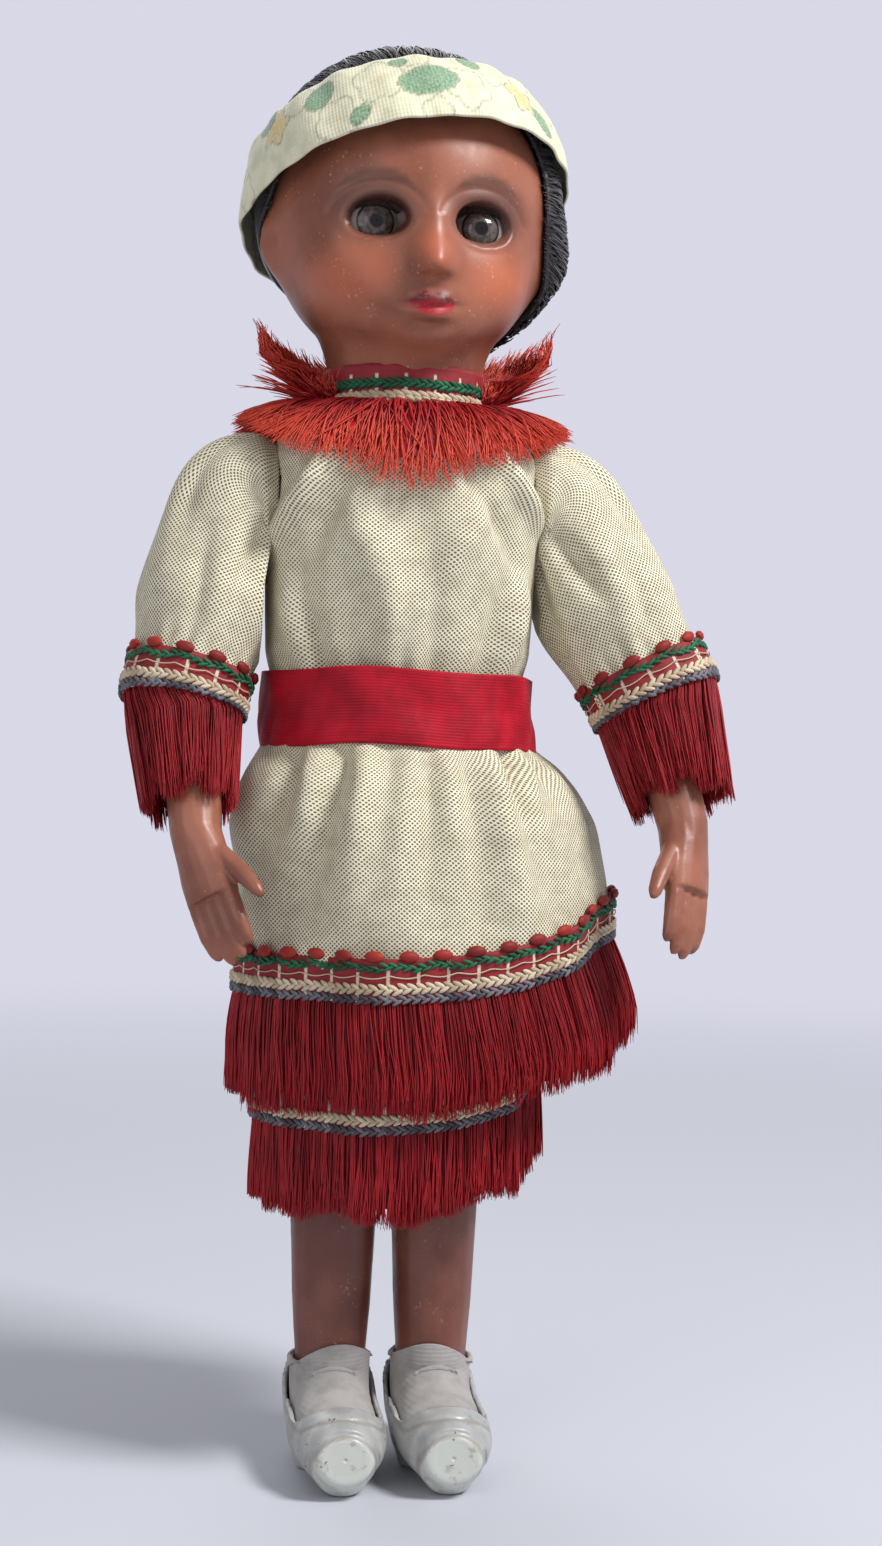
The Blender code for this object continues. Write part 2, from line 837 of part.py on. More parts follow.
def head_form(grow=0.0, floor=None, latitudes=HEAD_LATITUDES, points=32):
    """Neck, jaw, face and skull as one skin, grown outwards by grow."""
    around = [360 * k / points for k in range(points)]
    rings = []
    radius = neck_radius + grow
    bottom = neck_z - grow if floor is None else floor
    rings.append(level_circle(bottom, radius * 0.94, around))
    rings.append(level_circle(bottom + neck_length * 0.08, radius, around))
    rings.append(level_circle(neck_z + neck_length * 0.55, radius, around))
    rings.append(level_circle(neck_z + neck_length, radius, around))
    for latitude in latitudes:
        rings.append([head_point(lon, latitude, grow) for lon in around])
    return loft(rings)


def level_circle(z, radius, around):
    return [
        Vector(
            (
                radius * math.sin(math.radians(a)),
                -radius * math.cos(math.radians(a)),
                z,
            )
        )
        for a in around
    ]


def build_head(head, skin, steel):
    """Face and back of the head as cemented halves, with eye openings and the stringing peg."""
    inside = head_form(-plastic_wall, neck_z + plastic_wall, HEAD_LATITUDES[::2], 24)
    hollow = helper("head_hollow", inside, head)
    bore = helper(
        "peg_bore",
        rod((0, 0, neck_z - cut_overrun), (0, 0, neck_z + neck_length), peg_radius + gap),
        head,
    )
    openings = []
    for side, name in ((1, "left"), (-1, "right")):
        form = bmesh.new()
        bmesh.ops.create_uvsphere(form, u_segments=18, v_segments=8, radius=1)
        bmesh.ops.scale(
            form,
            vec=(eye_opening_half_width, eye_radius, eye_opening_half_height),
            verts=form.verts,
        )
        place = (side * eye_spread, -eye_forward - eye_radius, eye_z)
        bmesh.ops.translate(form, vec=place, verts=form.verts)
        openings.append(helper(f"{name}_eye_opening", form, head))
    wide = head_half_width * 1.3
    tall = head_half_height * 1.3
    for name, toward in (("face", 1), ("head_back", -1)):
        half = add(name, head_form(), skin, head)
        split_y = head_split_back - toward * gap / 2
        low = (-wide, split_y, neck_z - cut_overrun)
        high = (wide, wide * toward, head_z + tall)
        low, high = (
            tuple(map(min, zip(low, high))),
            tuple(map(max, zip(low, high))),
        )
        split = helper(f"{name}_split", block(low, high), head)
        cutters = [hollow, split, bore]
        if toward > 0:
            cutters += openings
        for cutter in cutters:
            boolean(half, cutter)
    seat = neck_z + plastic_wall + gap
    reach = seat + washer_thickness + gap
    button_top = shoulder_z - band_radius - gap
    add(
        "neck_washer",
        washer_form(seat),
        steel,
        head,
    )
    peg = turned(
        (
            (0, peg_button_radius * 0.9),
            (peg_button_thickness * 0.3, peg_button_radius),
            (peg_button_thickness, peg_button_radius),
            (peg_button_thickness * 1.02, peg_radius),
            (reach - button_top + peg_button_thickness, peg_radius),
            (reach - button_top + peg_button_thickness * 1.02, peg_radius * 2.4),
            (reach - button_top + peg_button_thickness * 2, peg_radius * 2.2),
        ),
        (0, 0, 1),
        (0, 0, button_top - peg_button_thickness),
    )
    add("neck_peg", peg, steel, head)


def washer_form(seat):
    """The ring that spreads the peg's pull over the floor of the neck."""
    outer, inner = washer_radius, peg_radius + gap
    up = Vector((0, 0, 1))
    x, y = Vector((1, 0, 0)), Vector((0, 1, 0))
    base = Vector((0, 0, seat))
    lid = base + up * washer_thickness
    return loft(
        [
            ring(base, x * inner, y * inner, 16),
            ring(base, x * outer, y * outer, 16),
            ring(lid, x * outer, y * outer, 16),
            ring(lid, x * inner, y * inner, 16),
        ],
        loop=True,
    )


def build_eyes(head, eyes, eye_white, steel, lead, card):
    """Two weighted eyes on one wire, and the bracket in the face that carries it."""
    axis = Vector((0, -eye_forward, eye_z))
    reach = eye_spread + eye_radius + eye_wire_reach + bracket_ear_depth
    axle_bore = helper(
        "eye_wire_bore",
        rod(axis - Vector((reach, 0, 0)), axis + Vector((reach, 0, 0)), eye_wire_radius + gap, 8),
        eyes,
    )
    for side, name in ((1, "left"), (-1, "right")):
        form = bmesh.new()
        bmesh.ops.create_uvsphere(form, u_segments=16, v_segments=10, radius=eye_radius)
        bmesh.ops.rotate(form, matrix=Matrix.Rotation(math.pi / 2, 3, "X"), verts=form.verts)
        bmesh.ops.translate(form, vec=axis + Vector((side * eye_spread, 0, 0)), verts=form.verts)
        boolean(add(f"{name}_eye", form, eye_white, eyes), axle_bore)
    stem_way = Vector((0, math.sin(eye_stem_lean), -math.cos(eye_stem_lean)))
    stem_end = axis + stem_way * eye_stem_length
    half_axle = Vector((reach - gap, 0, 0))
    axle = rod(axis - half_axle, axis + half_axle, eye_wire_radius, 8)
    wire_piece = add("eye_wire", axle, steel, eyes)
    stem = helper("eye_stem", rod(axis, stem_end, eye_wire_radius, 8), eyes)
    boolean(wire_piece, stem, "UNION")
    across = Vector((eye_weight_length / 2, 0, 0))
    bar = rod(stem_end - across, stem_end + across, eye_weight_radius, 14)
    weight = add("eye_weight", bar, lead, eyes)
    socket = rod(axis, stem_end + stem_way * gap, eye_wire_radius + gap, 8)
    boolean(weight, helper("eye_weight_socket", socket, eyes))
    ear_inner = eye_spread + eye_radius + eye_wire_reach
    top = eye_z + bracket_rise
    back = -eye_forward + bracket_back
    bracket = add(
        "eye_bracket",
        block(
            (-ear_inner - bracket_ear_depth, back, top - bracket_thickness * 2),
            (ear_inner + bracket_ear_depth, back + bracket_thickness, top),
        ),
        card,
        head,
    )
    bore = helper(
        "bracket_bore",
        rod(
            axis - Vector((reach + cut_overrun, 0, 0)),
            axis + Vector((reach + cut_overrun, 0, 0)),
            eye_wire_radius + gap,
            10,
        ),
        head,
    )
    ear_half = eye_wire_radius + gap + bracket_ear_wall
    for side, name in ((1, "left"), (-1, "right")):
        ear = block(
            (ear_inner, -eye_forward - ear_half, eye_z - ear_half),
            (ear_inner + bracket_ear_depth, back + bracket_thickness, top),
        )
        boolean(bracket, helper(f"{name}_bracket_ear", for_side(ear, side), head), "UNION")
    boolean(bracket, bore)


# Wig and headband


def wig_point(around, out, grow):
    """A place on the wig: around turns about the Y axis from the crown, out is the angle from the back."""
    a, o = math.radians(around), math.radians(out)
    way = Vector((math.sin(o) * math.sin(a), math.cos(o), math.sin(o) * math.cos(a)))
    longitude = math.degrees(math.atan2(way.x, -way.y))
    latitude = math.degrees(math.asin(max(-1.0, min(1.0, way.z))))
    return head_point(longitude, latitude, grow)


# Angle round the head from the crown, then how far forward of the back of the head the hair reaches
HAIRLINE = ((0, 124), (35, 122), (62, 112), (84, 104), (104, 98), (126, 84), (150, 66), (180, 54))


def hairline(around):
    """The hairline's angle, smoothed. The doll's left side has more hair, its right ear is bare."""
    away = abs((around + 180) % 360 - 180)
    signed = (around + 180) % 360 - 180
    more = 16 * bell(signed, 98, 30) - 26 * bell(signed, -128, 24)
    for (a, out_a), (b, out_b) in zip(HAIRLINE, HAIRLINE[1:]):
        if a <= away <= b:
            share = (away - a) / (b - a)
            share = share * share * (3 - 2 * share)
            return out_a + (out_b - out_a) * share + more
    return HAIRLINE[-1][1]


# Shares of the way from the back of the head to the hairline
WIG_SHARES = (0.06, 0.24, 0.42, 0.6, 0.76, 0.9, 1.0)


def build_wig(head, hair):
    """A sewn wig cap: a shell from the hairline round to the back of the head."""
    points = 30
    inner, outer = [], []
    for share in WIG_SHARES:
        inner_ring, outer_ring = [], []
        for k in range(points):
            around = 360 * k / points
            out = hairline(around) * share
            low = bell((around + 180) % 360, 0, 60) * bell(share, 0.7, 0.5)
            thick = wig_thickness + (wig_nape_thickness - wig_thickness) * low
            inner_ring.append(wig_point(around, out, wig_ease))
            outer_ring.append(wig_point(around, out, wig_ease + thick * (1 - 0.55 * share**8)))
        inner.append(inner_ring)
        outer.append(outer_ring)
    add("wig", loft(inner + outer[::-1]), hair, head)


def band_point(turn, across, grow):
    """A place on the headband: turn goes round the head, across runs from -1 to 1 over its width."""
    roll = Matrix.Rotation(-headband_lean, 3, "Y")
    normal = roll @ Vector((0, math.sin(headband_tilt), math.cos(headband_tilt)))
    front = roll @ Vector((0, -math.cos(headband_tilt), math.sin(headband_tilt)))
    side = roll @ Vector((1, 0, 0))
    out = front * math.cos(turn) + side * math.sin(turn)
    rise = headband_rise + across * headband_width / 2
    way = (out * head_half_depth + normal * rise).normalized()
    longitude = math.degrees(math.atan2(way.x, -way.y))
    latitude = math.degrees(math.asin(max(-1.0, min(1.0, way.z))))
    return head_point(longitude, latitude, grow)


def build_headband(head, print_cloth):
    """A printed ribbon round the head, high over the forehead and low at the nape."""
    points = 40
    seat = wig_ease + wig_nape_thickness + gap
    rows = ((-1, 0), (0, 0), (1, 0), (1, 1), (0, 1), (-1, 1))
    rings = []
    for across, layer in rows:
        grow = seat + layer * headband_thickness
        rings.append(
            [band_point(2 * math.pi * k / points, across, grow) for k in range(points)]
        )
    add("headband", loft(rings, loop=True), print_cloth, head)


# Tunic


def folded_ring(z, half_width, half_depth, depth_of_fold=0.0, lean=0.0, lift=0.0, square=0.0):
    """A level ring of cloth with soft folds. lift raises its left side, square flattens its sides."""
    points = []
    power = 1 - square / 2
    for k in range(cloth_points):
        a = 2 * math.pi * (k + 0.5) / cloth_points
        fold = depth_of_fold * (0.6 * math.cos(7 * a + 0.6) + 0.4 * math.cos(11 * a + 2.1))
        across, along = math.cos(a), math.sin(a)
        x = (half_width + fold) * math.copysign(abs(across) ** power, across) + lean
        y = (half_depth + fold) * math.copysign(abs(along) ** power, along)
        points.append(Vector((x, y, z + lift * (0.5 + 0.5 * across) ** 4)))
    return points


def wall(rows, thickness):
    """Closed cloth tube from rows of (z, half width, half depth, fold, lean, lift), outer face first."""
    outer = [folded_ring(*row) for row in rows]
    inner = [
        folded_ring(z, half_width - thickness, half_depth - thickness, *rest)
        for z, half_width, half_depth, *rest in rows
    ]
    return loft(outer + inner[::-1], loop=True)


# Height share from waist seam to neck, then shares of the bodice's half width and half depth,
# and how square it is there
BODICE_SHARES = (
    (0.14, 0.985, 0.93, 0.1),
    (0.34, 1.0, 0.98, 0.5),
    (0.54, 1.0, 1.0, 0.8),
    (0.72, 1.0, 0.95, 0.8),
    (0.85, 1.0, 0.86, 0.7),
    (0.93, 0.92, 0.78, 0.4),
)


def build_bodice(root, cloth):
    """The upper half of the tunic, with round armholes that the sleeves meet."""
    top = neck_z - 2 * gap
    inner_neck = neck_radius + gap
    rows = [(waist_z + gap / 2, waist_half_width, waist_half_depth)]
    for height_share, width_share, depth_share, square_share in BODICE_SHARES:
        rows.append(
            (
                waist_z + (top - waist_z) * height_share,
                bodice_half_width * width_share,
                bodice_half_depth * depth_share,
                0.0,
                0.0,
                0.0,
                square_share,
            )
        )
    rows.append((top - gap, (bodice_half_width + inner_neck) / 2, inner_neck * 1.12))
    rows.append((top, inner_neck + cloth_thickness, inner_neck + cloth_thickness))
    piece = add("tunic_bodice", wall(rows, cloth_thickness), cloth, root)
    reach = bodice_half_width + cut_overrun
    hole = rod((-reach, 0, shoulder_z), (reach, 0, shoulder_z), armhole_radius, 28)
    boolean(piece, helper("armholes", hole, root))


# Depth share below the waist, then shares of the way from waist to full skirt and of the lean
SKIRT_SHARES = (
    (0.0, 0.0, 0.0),
    (0.1, 0.24, 0.1),
    (0.2, 0.7, 0.36),
    (0.3, 0.93, 0.6),
    (0.45, 1.0, 0.85),
    (0.66, 1.0, 1.0),
)


def skirt_at(z):
    """Half width, half depth, lean and spread of the skirt at a height, without its folds."""
    spread, lean = between(SKIRT_SHARES, (waist_z - z) / tunic_length_below_waist)
    return (
        waist_half_width + (skirt_half_width - waist_half_width) * spread,
        waist_half_depth + (skirt_half_depth - waist_half_depth) * spread,
        skirt_lean * lean,
        spread,
    )


def build_skirt(root, cloth):
    """The lower half of the tunic: gathered at the waist, full at the hips, narrower at the hem."""
    rows = []
    for depth_share, _, _ in SKIRT_SHARES:
        z = waist_z - gap / 2 - tunic_length_below_waist * depth_share
        half_width, half_depth, lean, spread = skirt_at(z)
        rows.append((z, half_width, half_depth, skirt_fold_depth * spread, lean))
    for depth_share in (0.76, 1.0):
        rows.append(
            (
                waist_z - tunic_length_below_waist * depth_share,
                underskirt_half_width,
                underskirt_half_depth,
                0.0,
                underskirt_lean,
            )
        )
    add("tunic_skirt", wall(rows, cloth_thickness), cloth, root)


def build_belt(root, ribbon):
    """A ribbon sewn round the waist."""
    rows = []
    for z in (waist_z + belt_width / 2, waist_z, waist_z - belt_width / 2):
        half_width, half_depth, lean, spread = skirt_at(z)
        over = gap + belt_thickness + skirt_fold_depth * spread
        rows.append((z, half_width + over, half_depth + over, 0.0, lean))
    add("belt", wall(rows, belt_thickness), ribbon, root)


# Fringe trims


def ragged(k, points, depth):
    """Uneven thread ends: a fixed mix of waves, so each build gives the same hem."""
    a = 2 * math.pi * k / points
    return depth * (0.5 * math.sin(9 * a) + 0.3 * math.sin(16 * a + 1) + 0.2 * math.sin(21 * a + 2))


def trim_form(z, half_width, half_depth, length, flare, lean, drift, lift):
    """Braided heading, then a fringe that flares by flare and drifts to the doll's left by drift."""
    low_end = z - heading_height - length
    outer = (
        (z, 0.0),
        (z - heading_height, 0.0),
        (z - heading_height - length * 0.25, 0.45),
        (z - heading_height - length * 0.65, 1.0),
        (low_end, 0.9),
    )
    layers = [(level, share, 0.0) for level, share in outer]
    for level, share in outer[::-1]:
        thick = heading_thickness if level > z - heading_height - gap else fringe_thickness
        layers.append((level, share, thick))
    rings = []
    for level, share, thick in layers:
        out = flare * share - thick
        aside = lean + drift * share
        rings.append(
            folded_ring(level, half_width + out, half_depth + out, skirt_fold_depth, aside, lift)
        )
    for points_of_ring in (rings[4], rings[5]):
        for k, p in enumerate(points_of_ring):
            p.z += ragged(k, cloth_points, length * 0.06)
    return loft(rings, loop=True)


def build_trims(root, fringe):
    """Upper and lower skirt trims."""
    over = heading_thickness + gap
    upper = trim_form(
        waist_z - upper_trim_drop,
        skirt_half_width + over,
        skirt_half_depth + over,
        upper_fringe_length,
        upper_fringe_flare,
        skirt_lean,
        upper_fringe_lean,
        upper_trim_lift,
    )
    add("upper_skirt_trim", upper, fringe, root)
    clear = skirt_fold_depth + over
    lower = trim_form(
        waist_z - tunic_length_below_waist + heading_height * 0.4,
        underskirt_half_width + clear,
        underskirt_half_depth + clear,
        lower_fringe_length,
        -lower_fringe_draw,
        underskirt_lean,
        0.0,
        lower_trim_lift,
    )
    add("lower_skirt_trim", lower, fringe, root)


# Share of the way out over the shoulders, then share of the fringe's puff there
COLLAR_SHARES = ((0.0, 0.0), (0.33, 1.0), (0.7, 1.0), (1.0, 0.0))


def collar_ring(share, rise, under):
    """A ring of the collar's fringe, which hangs lower in front and behind than over the arms."""
    points = 40
    inner = neck_radius + gap + heading_thickness
    out_x = inner + (collar_fringe_half_width - inner) * share
    out_y = inner + (collar_fringe_half_depth - inner) * share
    made = []
    for k in range(points):
        a = 2 * math.pi * k / points
        side = math.cos(a) ** 2
        drop = collar_fringe_front_drop * (1 - side) + collar_fringe_side_drop * side
        z = neck_z + fringe_thickness - drop * share**1.5 - under + rise
        z += ragged(k, points, collar_fringe_side_drop * 0.12) * share
        made.append(Vector((out_x * math.cos(a), out_y * math.sin(a), z)))
    return made


def build_collar(root, fringe):
    """The neck trim: a standing braided heading, and a fringe that spreads over the shoulders."""
    inner = neck_radius + gap
    outer = inner + heading_thickness
    top = neck_z + collar_height
    rings = [
        level_ring(neck_z, inner, inner, points=40),
        level_ring(top, inner, inner, points=40),
        level_ring(top, outer, outer, points=40),
    ]
    for share, puff_share in COLLAR_SHARES:
        rings.append(collar_ring(share, collar_fringe_puff * puff_share, 0.0))
    for share, puff_share in COLLAR_SHARES[::-1]:
        rise = collar_fringe_puff * puff_share * 0.9
        rings.append(collar_ring(share, rise, fringe_thickness * 0.8))
    add("collar_trim", loft(rings, loop=True), fringe, root)


# Sleeves


def clear_of_body(points_of_ring, layers, side, back_swing):
    """Presses a ring flat where it would meet the body, at rest or as the arm swings.

    A point goes round the shoulder's axis. It comes nearest to the body where the arm's way back
    ends, or straight below the axis if it gets that far.
    """
    for p in points_of_ring:
        reach = math.hypot(p.y, p.z - shoulder_z)
        forward = math.atan2(-p.y, shoulder_z - p.z)
        nearest = max(0.0, forward - back_swing)
        y, z = reach * math.sin(nearest), shoulder_z - reach * math.cos(nearest)
        half_width, half_depth, lean, spread = skirt_at(z)
        fold = skirt_fold_depth * spread
        if z < waist_z + belt_width / 2:
            fold += gap + belt_thickness
        narrowed = math.sqrt(max(0.0, 1 - (y / (half_depth + fold)) ** 2))
        side_x = (half_width + fold) * narrowed + side * lean
        if z > waist_z + belt_width / 2:
            side_x = bodice_half_width
        p.x = max(p.x, side_x + gap + layers)
    return points_of_ring


# Share of the sleeve's length, then share of the room that its trim takes on the body's side, and
# of the way from the sleeve's cap to its cuff
SLEEVE_SHARES = ((0.42, 0.45, -0.2), (0.62, 0.85, -0.15), (0.82, 1.0, 1.0), (1.0, 1.0, 1.0))


def sleeve_rings(splay, side, back_swing, cuff_half_width, shrink):
    """Rings from the armhole over the shoulder and down the upper arm."""
    upper, _, _ = arm_ways(splay)
    start, _, _, _ = arm_points(splay)
    points = 24
    cap = sleeve_cap_radius - shrink
    wide, deep = cuff_half_width - shrink, cuff_half_depth - shrink
    turn = (Vector((1, 0, 0)) + upper).normalized()
    rings = [
        side_ring(sleeve_seat_x, cap, points),
        side_ring(sleeve_seat_x + cap * 0.2, cap, points),
        arm_ring(start + upper * cap * 0.3, turn, cap, cap * 0.98, points),
    ]
    for share, _, cuff_share in SLEEVE_SHARES:
        width = cap + (wide - cap) * cuff_share
        depth = cap + (deep - cap) * cuff_share
        rings.append(arm_ring(start + upper * sleeve_length * share, upper, width, depth, points))
    clear_of_body(rings[2], shrink, side, back_swing)
    room = heading_thickness + 2 * gap
    for (_, room_share, _), points_of_ring in zip(SLEEVE_SHARES, rings[3:]):
        clear_of_body(points_of_ring, shrink + room * room_share, side, back_swing)
    return rings


def build_sleeve(side, splay, back_swing, cuff_half_width, carrier, cloth, fringe):
    """A sleeve that turns with its arm, and the fringe trim at its edge."""
    name = "left" if side > 0 else "right"
    outer = sleeve_rings(splay, side, back_swing, cuff_half_width, 0.0)
    inner = sleeve_rings(splay, side, back_swing, cuff_half_width, cloth_thickness)
    form = loft(outer + inner[::-1], loop=True)
    add(f"{name}_sleeve", for_side(form, side), cloth, carrier)
    upper, fore, _ = arm_ways(splay)
    start, _, _, _ = arm_points(splay)
    points = 24
    edge = start + upper * sleeve_length
    places = (
        (edge - upper * heading_height * 0.85, upper, 0.0),
        (edge + upper * gap, upper, 0.0),
        (edge + fore * sleeve_fringe_length * 0.35, fore, sleeve_fringe_draw * 0.4),
        (edge + fore * sleeve_fringe_length, fore, sleeve_fringe_draw),
    )
    rings = []
    for over, centres in ((gap + heading_thickness, places), (gap, places[::-1])):
        for centre, way, drawn in centres:
            made = arm_ring(
                centre,
                way,
                cuff_half_width + over - drawn,
                cuff_half_depth + over - drawn,
                points,
            )
            layers = gap + heading_thickness - over
            rings.append(clear_of_body(made, layers, side, back_swing))
    for points_of_ring in (rings[3], rings[4]):
        for k, p in enumerate(points_of_ring):
            p += fore * ragged(k, points, sleeve_fringe_length * 0.05)
    add(f"{name}_sleeve_trim", for_side(loft(rings, loop=True), side), fringe, carrier)


def build_doll():
    for old in list(bpy.data.objects):
        bpy.data.objects.remove(old)
    skin = material("brown_plastic", (0.36, 0.13, 0.07), 0.42)
    steel = material("steel", (0.6, 0.6, 0.6), 0.3, 1.0)
    lead = material("lead", (0.25, 0.25, 0.27), 0.5, 1.0)
    rubber = material("rubber", (0.7, 0.62, 0.48), 0.7)
    card = material("grey_plastic", (0.5, 0.5, 0.48), 0.6)
    eye_white = material("eye_plastic", (0.05, 0.03, 0.025), 0.15)
    hair = material("black_hair", (0.012, 0.012, 0.014), 0.55)
    cloth = material("cream_cloth", (0.76, 0.72, 0.58), 0.8)
    print_cloth = material("printed_ribbon", (0.8, 0.8, 0.62), 0.7)
    ribbon = material("red_ribbon", (0.62, 0.015, 0.035), 0.6)
    fringe = material("red_fringe", (0.5, 0.02, 0.02), 0.75)
    sock_cloth = material("white_sock", (0.78, 0.78, 0.76), 0.8)
    vinyl = material("white_vinyl", (0.8, 0.81, 0.79), 0.45)

    root = body("root", (0, 0, 0))
    head = body("head", (0, 0, neck_z), root)
    eyes = body("eyes", (0, -eye_forward, eye_z), head)
    build_trunk(root, skin)
    build_rubber_band(root, rubber)
    build_hip_pin(root, steel)
    build_head(head, skin, steel)
    build_eyes(head, eyes, eye_white, steel, lead, card)
    build_wig(head, hair)
    build_headband(head, print_cloth)
    build_bodice(root, cloth)
    build_skirt(root, cloth)
    build_belt(root, ribbon)
    build_trims(root, fringe)
    build_collar(root, fringe)
    for side, name, standoff, back_swing, cuff_half_width in (
        (1, "left", left_arm_standoff, left_arm_back_swing, left_cuff_half_width),
        (-1, "right", right_arm_standoff, right_arm_back_swing, right_cuff_half_width),
    ):
        splay = arm_splay(standoff)
        arm = body(f"{name}_arm_swing", (side * arm_seat_x, 0, shoulder_z), root)
        build_arm(side, splay, arm, skin, steel)
        build_sleeve(side, splay, back_swing, cuff_half_width, arm, cloth, fringe)
        leg = body(f"{name}_leg_swing", (side * leg_spread, 0, hip_z), root)
        build_leg(side, leg, skin, sock_cloth, vinyl)
    head.rotation_euler.z = head_turn
    root.location = (stance_x, stance_y, 0)


build_doll()
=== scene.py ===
"""How the strung costume doll looks: moulded plastic, wig, woven tunic, red fringe, socks and shoes.

The doll faces -Y and its left side is +X. Sizes are in metres.
"""

import json
import math
import random

import bpy
import numpy as np
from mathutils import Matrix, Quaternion, Vector


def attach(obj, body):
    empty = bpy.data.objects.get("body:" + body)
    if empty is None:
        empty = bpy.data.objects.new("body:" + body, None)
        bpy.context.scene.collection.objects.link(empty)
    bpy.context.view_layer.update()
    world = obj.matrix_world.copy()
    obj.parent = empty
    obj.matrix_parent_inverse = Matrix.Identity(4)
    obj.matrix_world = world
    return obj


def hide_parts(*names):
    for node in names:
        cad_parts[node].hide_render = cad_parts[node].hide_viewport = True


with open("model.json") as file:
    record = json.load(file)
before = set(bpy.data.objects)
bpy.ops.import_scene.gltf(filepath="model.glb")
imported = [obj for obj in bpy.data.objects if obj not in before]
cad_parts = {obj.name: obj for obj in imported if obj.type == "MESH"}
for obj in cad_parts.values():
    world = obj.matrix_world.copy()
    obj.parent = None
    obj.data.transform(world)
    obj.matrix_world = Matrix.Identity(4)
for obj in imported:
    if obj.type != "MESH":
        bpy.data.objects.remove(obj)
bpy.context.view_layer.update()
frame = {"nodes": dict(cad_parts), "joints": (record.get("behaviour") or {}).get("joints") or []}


# Where the doll stands: on a pale table top, lit softly from above and from the right. The camera
# looks level at its middle, a little round to the doll's right, and is tilted slightly.
neck_joint = next(j for j in frame["joints"] if j["name"] == "neck_swivel")["pos_m"]
doll_axis = np.array([neck_joint[0], neck_joint[1], 0.0])

camera_distance = 0.33
camera_height = 0.0965
camera_aim_left = 0.0067
camera_turn = math.radians(8)
camera_tilt = math.radians(1.4)
camera_lens = 53.8
table_colour = (0.53, 0.545, 0.60, 1)
table_reach = 4.0
wall_colour = (0.69, 0.69, 0.80, 1)
wall_fade = (0.18, 0.75)
sky_colour = (0.92, 0.94, 1.0, 1)
sky_strength = 0.3
lamp_aim_height = 0.1


def put(tree, kind, values=None, **settings):
    """Adds a shader node. Each of its inputs gets a number, a colour or another node's output."""
    made = tree.nodes.new("ShaderNode" + kind)
    for name, value in settings.items():
        setattr(made, name, value)
    for place, value in (values or {}).items():
        if isinstance(value, bpy.types.NodeSocket):
            tree.links.new(value, made.inputs[place])
        else:
            made.inputs[place].default_value = value
    return made


def build_table():
    """A round pale top that fades into the wall's colour far behind the doll."""
    mesh = bpy.data.meshes.new("table_top")
    corners = 64
    bearings = [2 * math.pi * k / corners for k in range(corners)]
    ring = [(table_reach * math.cos(a), table_reach * math.sin(a), 0) for a in bearings]
    mesh.from_pydata(ring, [], [tuple(range(corners))])
    top = bpy.data.objects.new("table_top", mesh)
    bpy.context.scene.collection.objects.link(top)
    paint = bpy.data.materials.new("table_paint")
    paint.use_nodes = True
    tree = paint.node_tree
    shader = tree.nodes["Principled BSDF"]
    shader.inputs["Base Color"].default_value = table_colour
    shader.inputs["Roughness"].default_value = 0.7
    place = put(tree, "TexCoord").outputs["Object"]
    away = put(tree, "VectorMath", {0: place}, operation="LENGTH").outputs["Value"]
    far = put(
        tree, "MapRange", {"Value": away, "From Min": wall_fade[0], "From Max": wall_fade[1]},
        interpolation_type="SMOOTHSTEP",
    ).outputs["Result"]
    wall = put(tree, "Emission", {"Color": wall_colour, "Strength": 1.0}).outputs[0]
    mixed = put(tree, "MixShader", {0: far, 1: shader.outputs[0], 2: wall}).outputs[0]
    tree.links.new(mixed, tree.nodes["Material Output"].inputs["Surface"])
    top.data.materials.append(paint)


def build_room():
    """The sky that fills the shadows, the wall's colour behind, and three soft lamps."""
    world = bpy.data.worlds.new("room")
    bpy.context.scene.world = world
    world.use_nodes = True
    tree = world.node_tree
    light = tree.nodes["Background"]
    light.inputs["Color"].default_value = sky_colour
    light.inputs["Strength"].default_value = sky_strength
    wall = put(tree, "Background", {"Color": wall_colour, "Strength": 1.0}).outputs[0]
    path = put(tree, "LightPath").outputs
    seen = put(tree, "Math", {0: path["Is Camera Ray"], 1: path["Is Glossy Ray"]}, operation="MAXIMUM")
    seen = put(tree, "Math", {0: seen.outputs[0], 1: path["Is Transmission Ray"]}, operation="MAXIMUM")
    mixed = put(tree, "MixShader", {0: seen.outputs[0], 1: light.outputs[0], 2: wall}).outputs[0]
    tree.links.new(mixed, tree.nodes["World Output"].inputs["Surface"])
    aim = Vector((doll_axis[0], 0, lamp_aim_height))
    for name, place, size, power in (
        ("window_lamp", (0.44, -0.34, 0.66), 0.22, 7.4),
        ("fill_lamp", (-0.5, -0.6, 0.3), 0.5, 1.3),
        ("back_lamp", (-0.1, 0.6, 0.6), 0.5, 1.6),
    ):
        lamp = bpy.data.lights.new(name, "AREA")
        lamp.size = size
        lamp.energy = power
        lamp_object = bpy.data.objects.new(name, lamp)
        lamp_object.location = place
        lamp_object.rotation_euler = (aim - Vector(place)).to_track_quat("-Z", "Y").to_euler()
        bpy.context.scene.collection.objects.link(lamp_object)


def build_camera():
    """A level camera that looks at the doll's middle along its own turn."""
    lens = bpy.data.cameras.new("camera")
    lens.lens = camera_lens
    lens.sensor_width = 36
    lens.clip_start, lens.clip_end = 0.01, 20
    camera = bpy.data.objects.new("camera", lens)
    aim = Vector((doll_axis[0] + camera_aim_left, doll_axis[1], camera_height))
    way = Vector((math.sin(camera_turn), math.cos(camera_turn), 0))
    camera.location = aim - way * camera_distance
    camera.rotation_mode = "QUATERNION"
    camera.rotation_quaternion = way.to_track_quat("-Z", "Y") @ Quaternion((0, 0, 1), camera_tilt)
    bpy.context.scene.collection.objects.link(camera)
    bpy.context.scene.camera = camera


build_table()
build_room()
build_camera()
bpy.context.scene.view_settings.view_transform = "Standard"


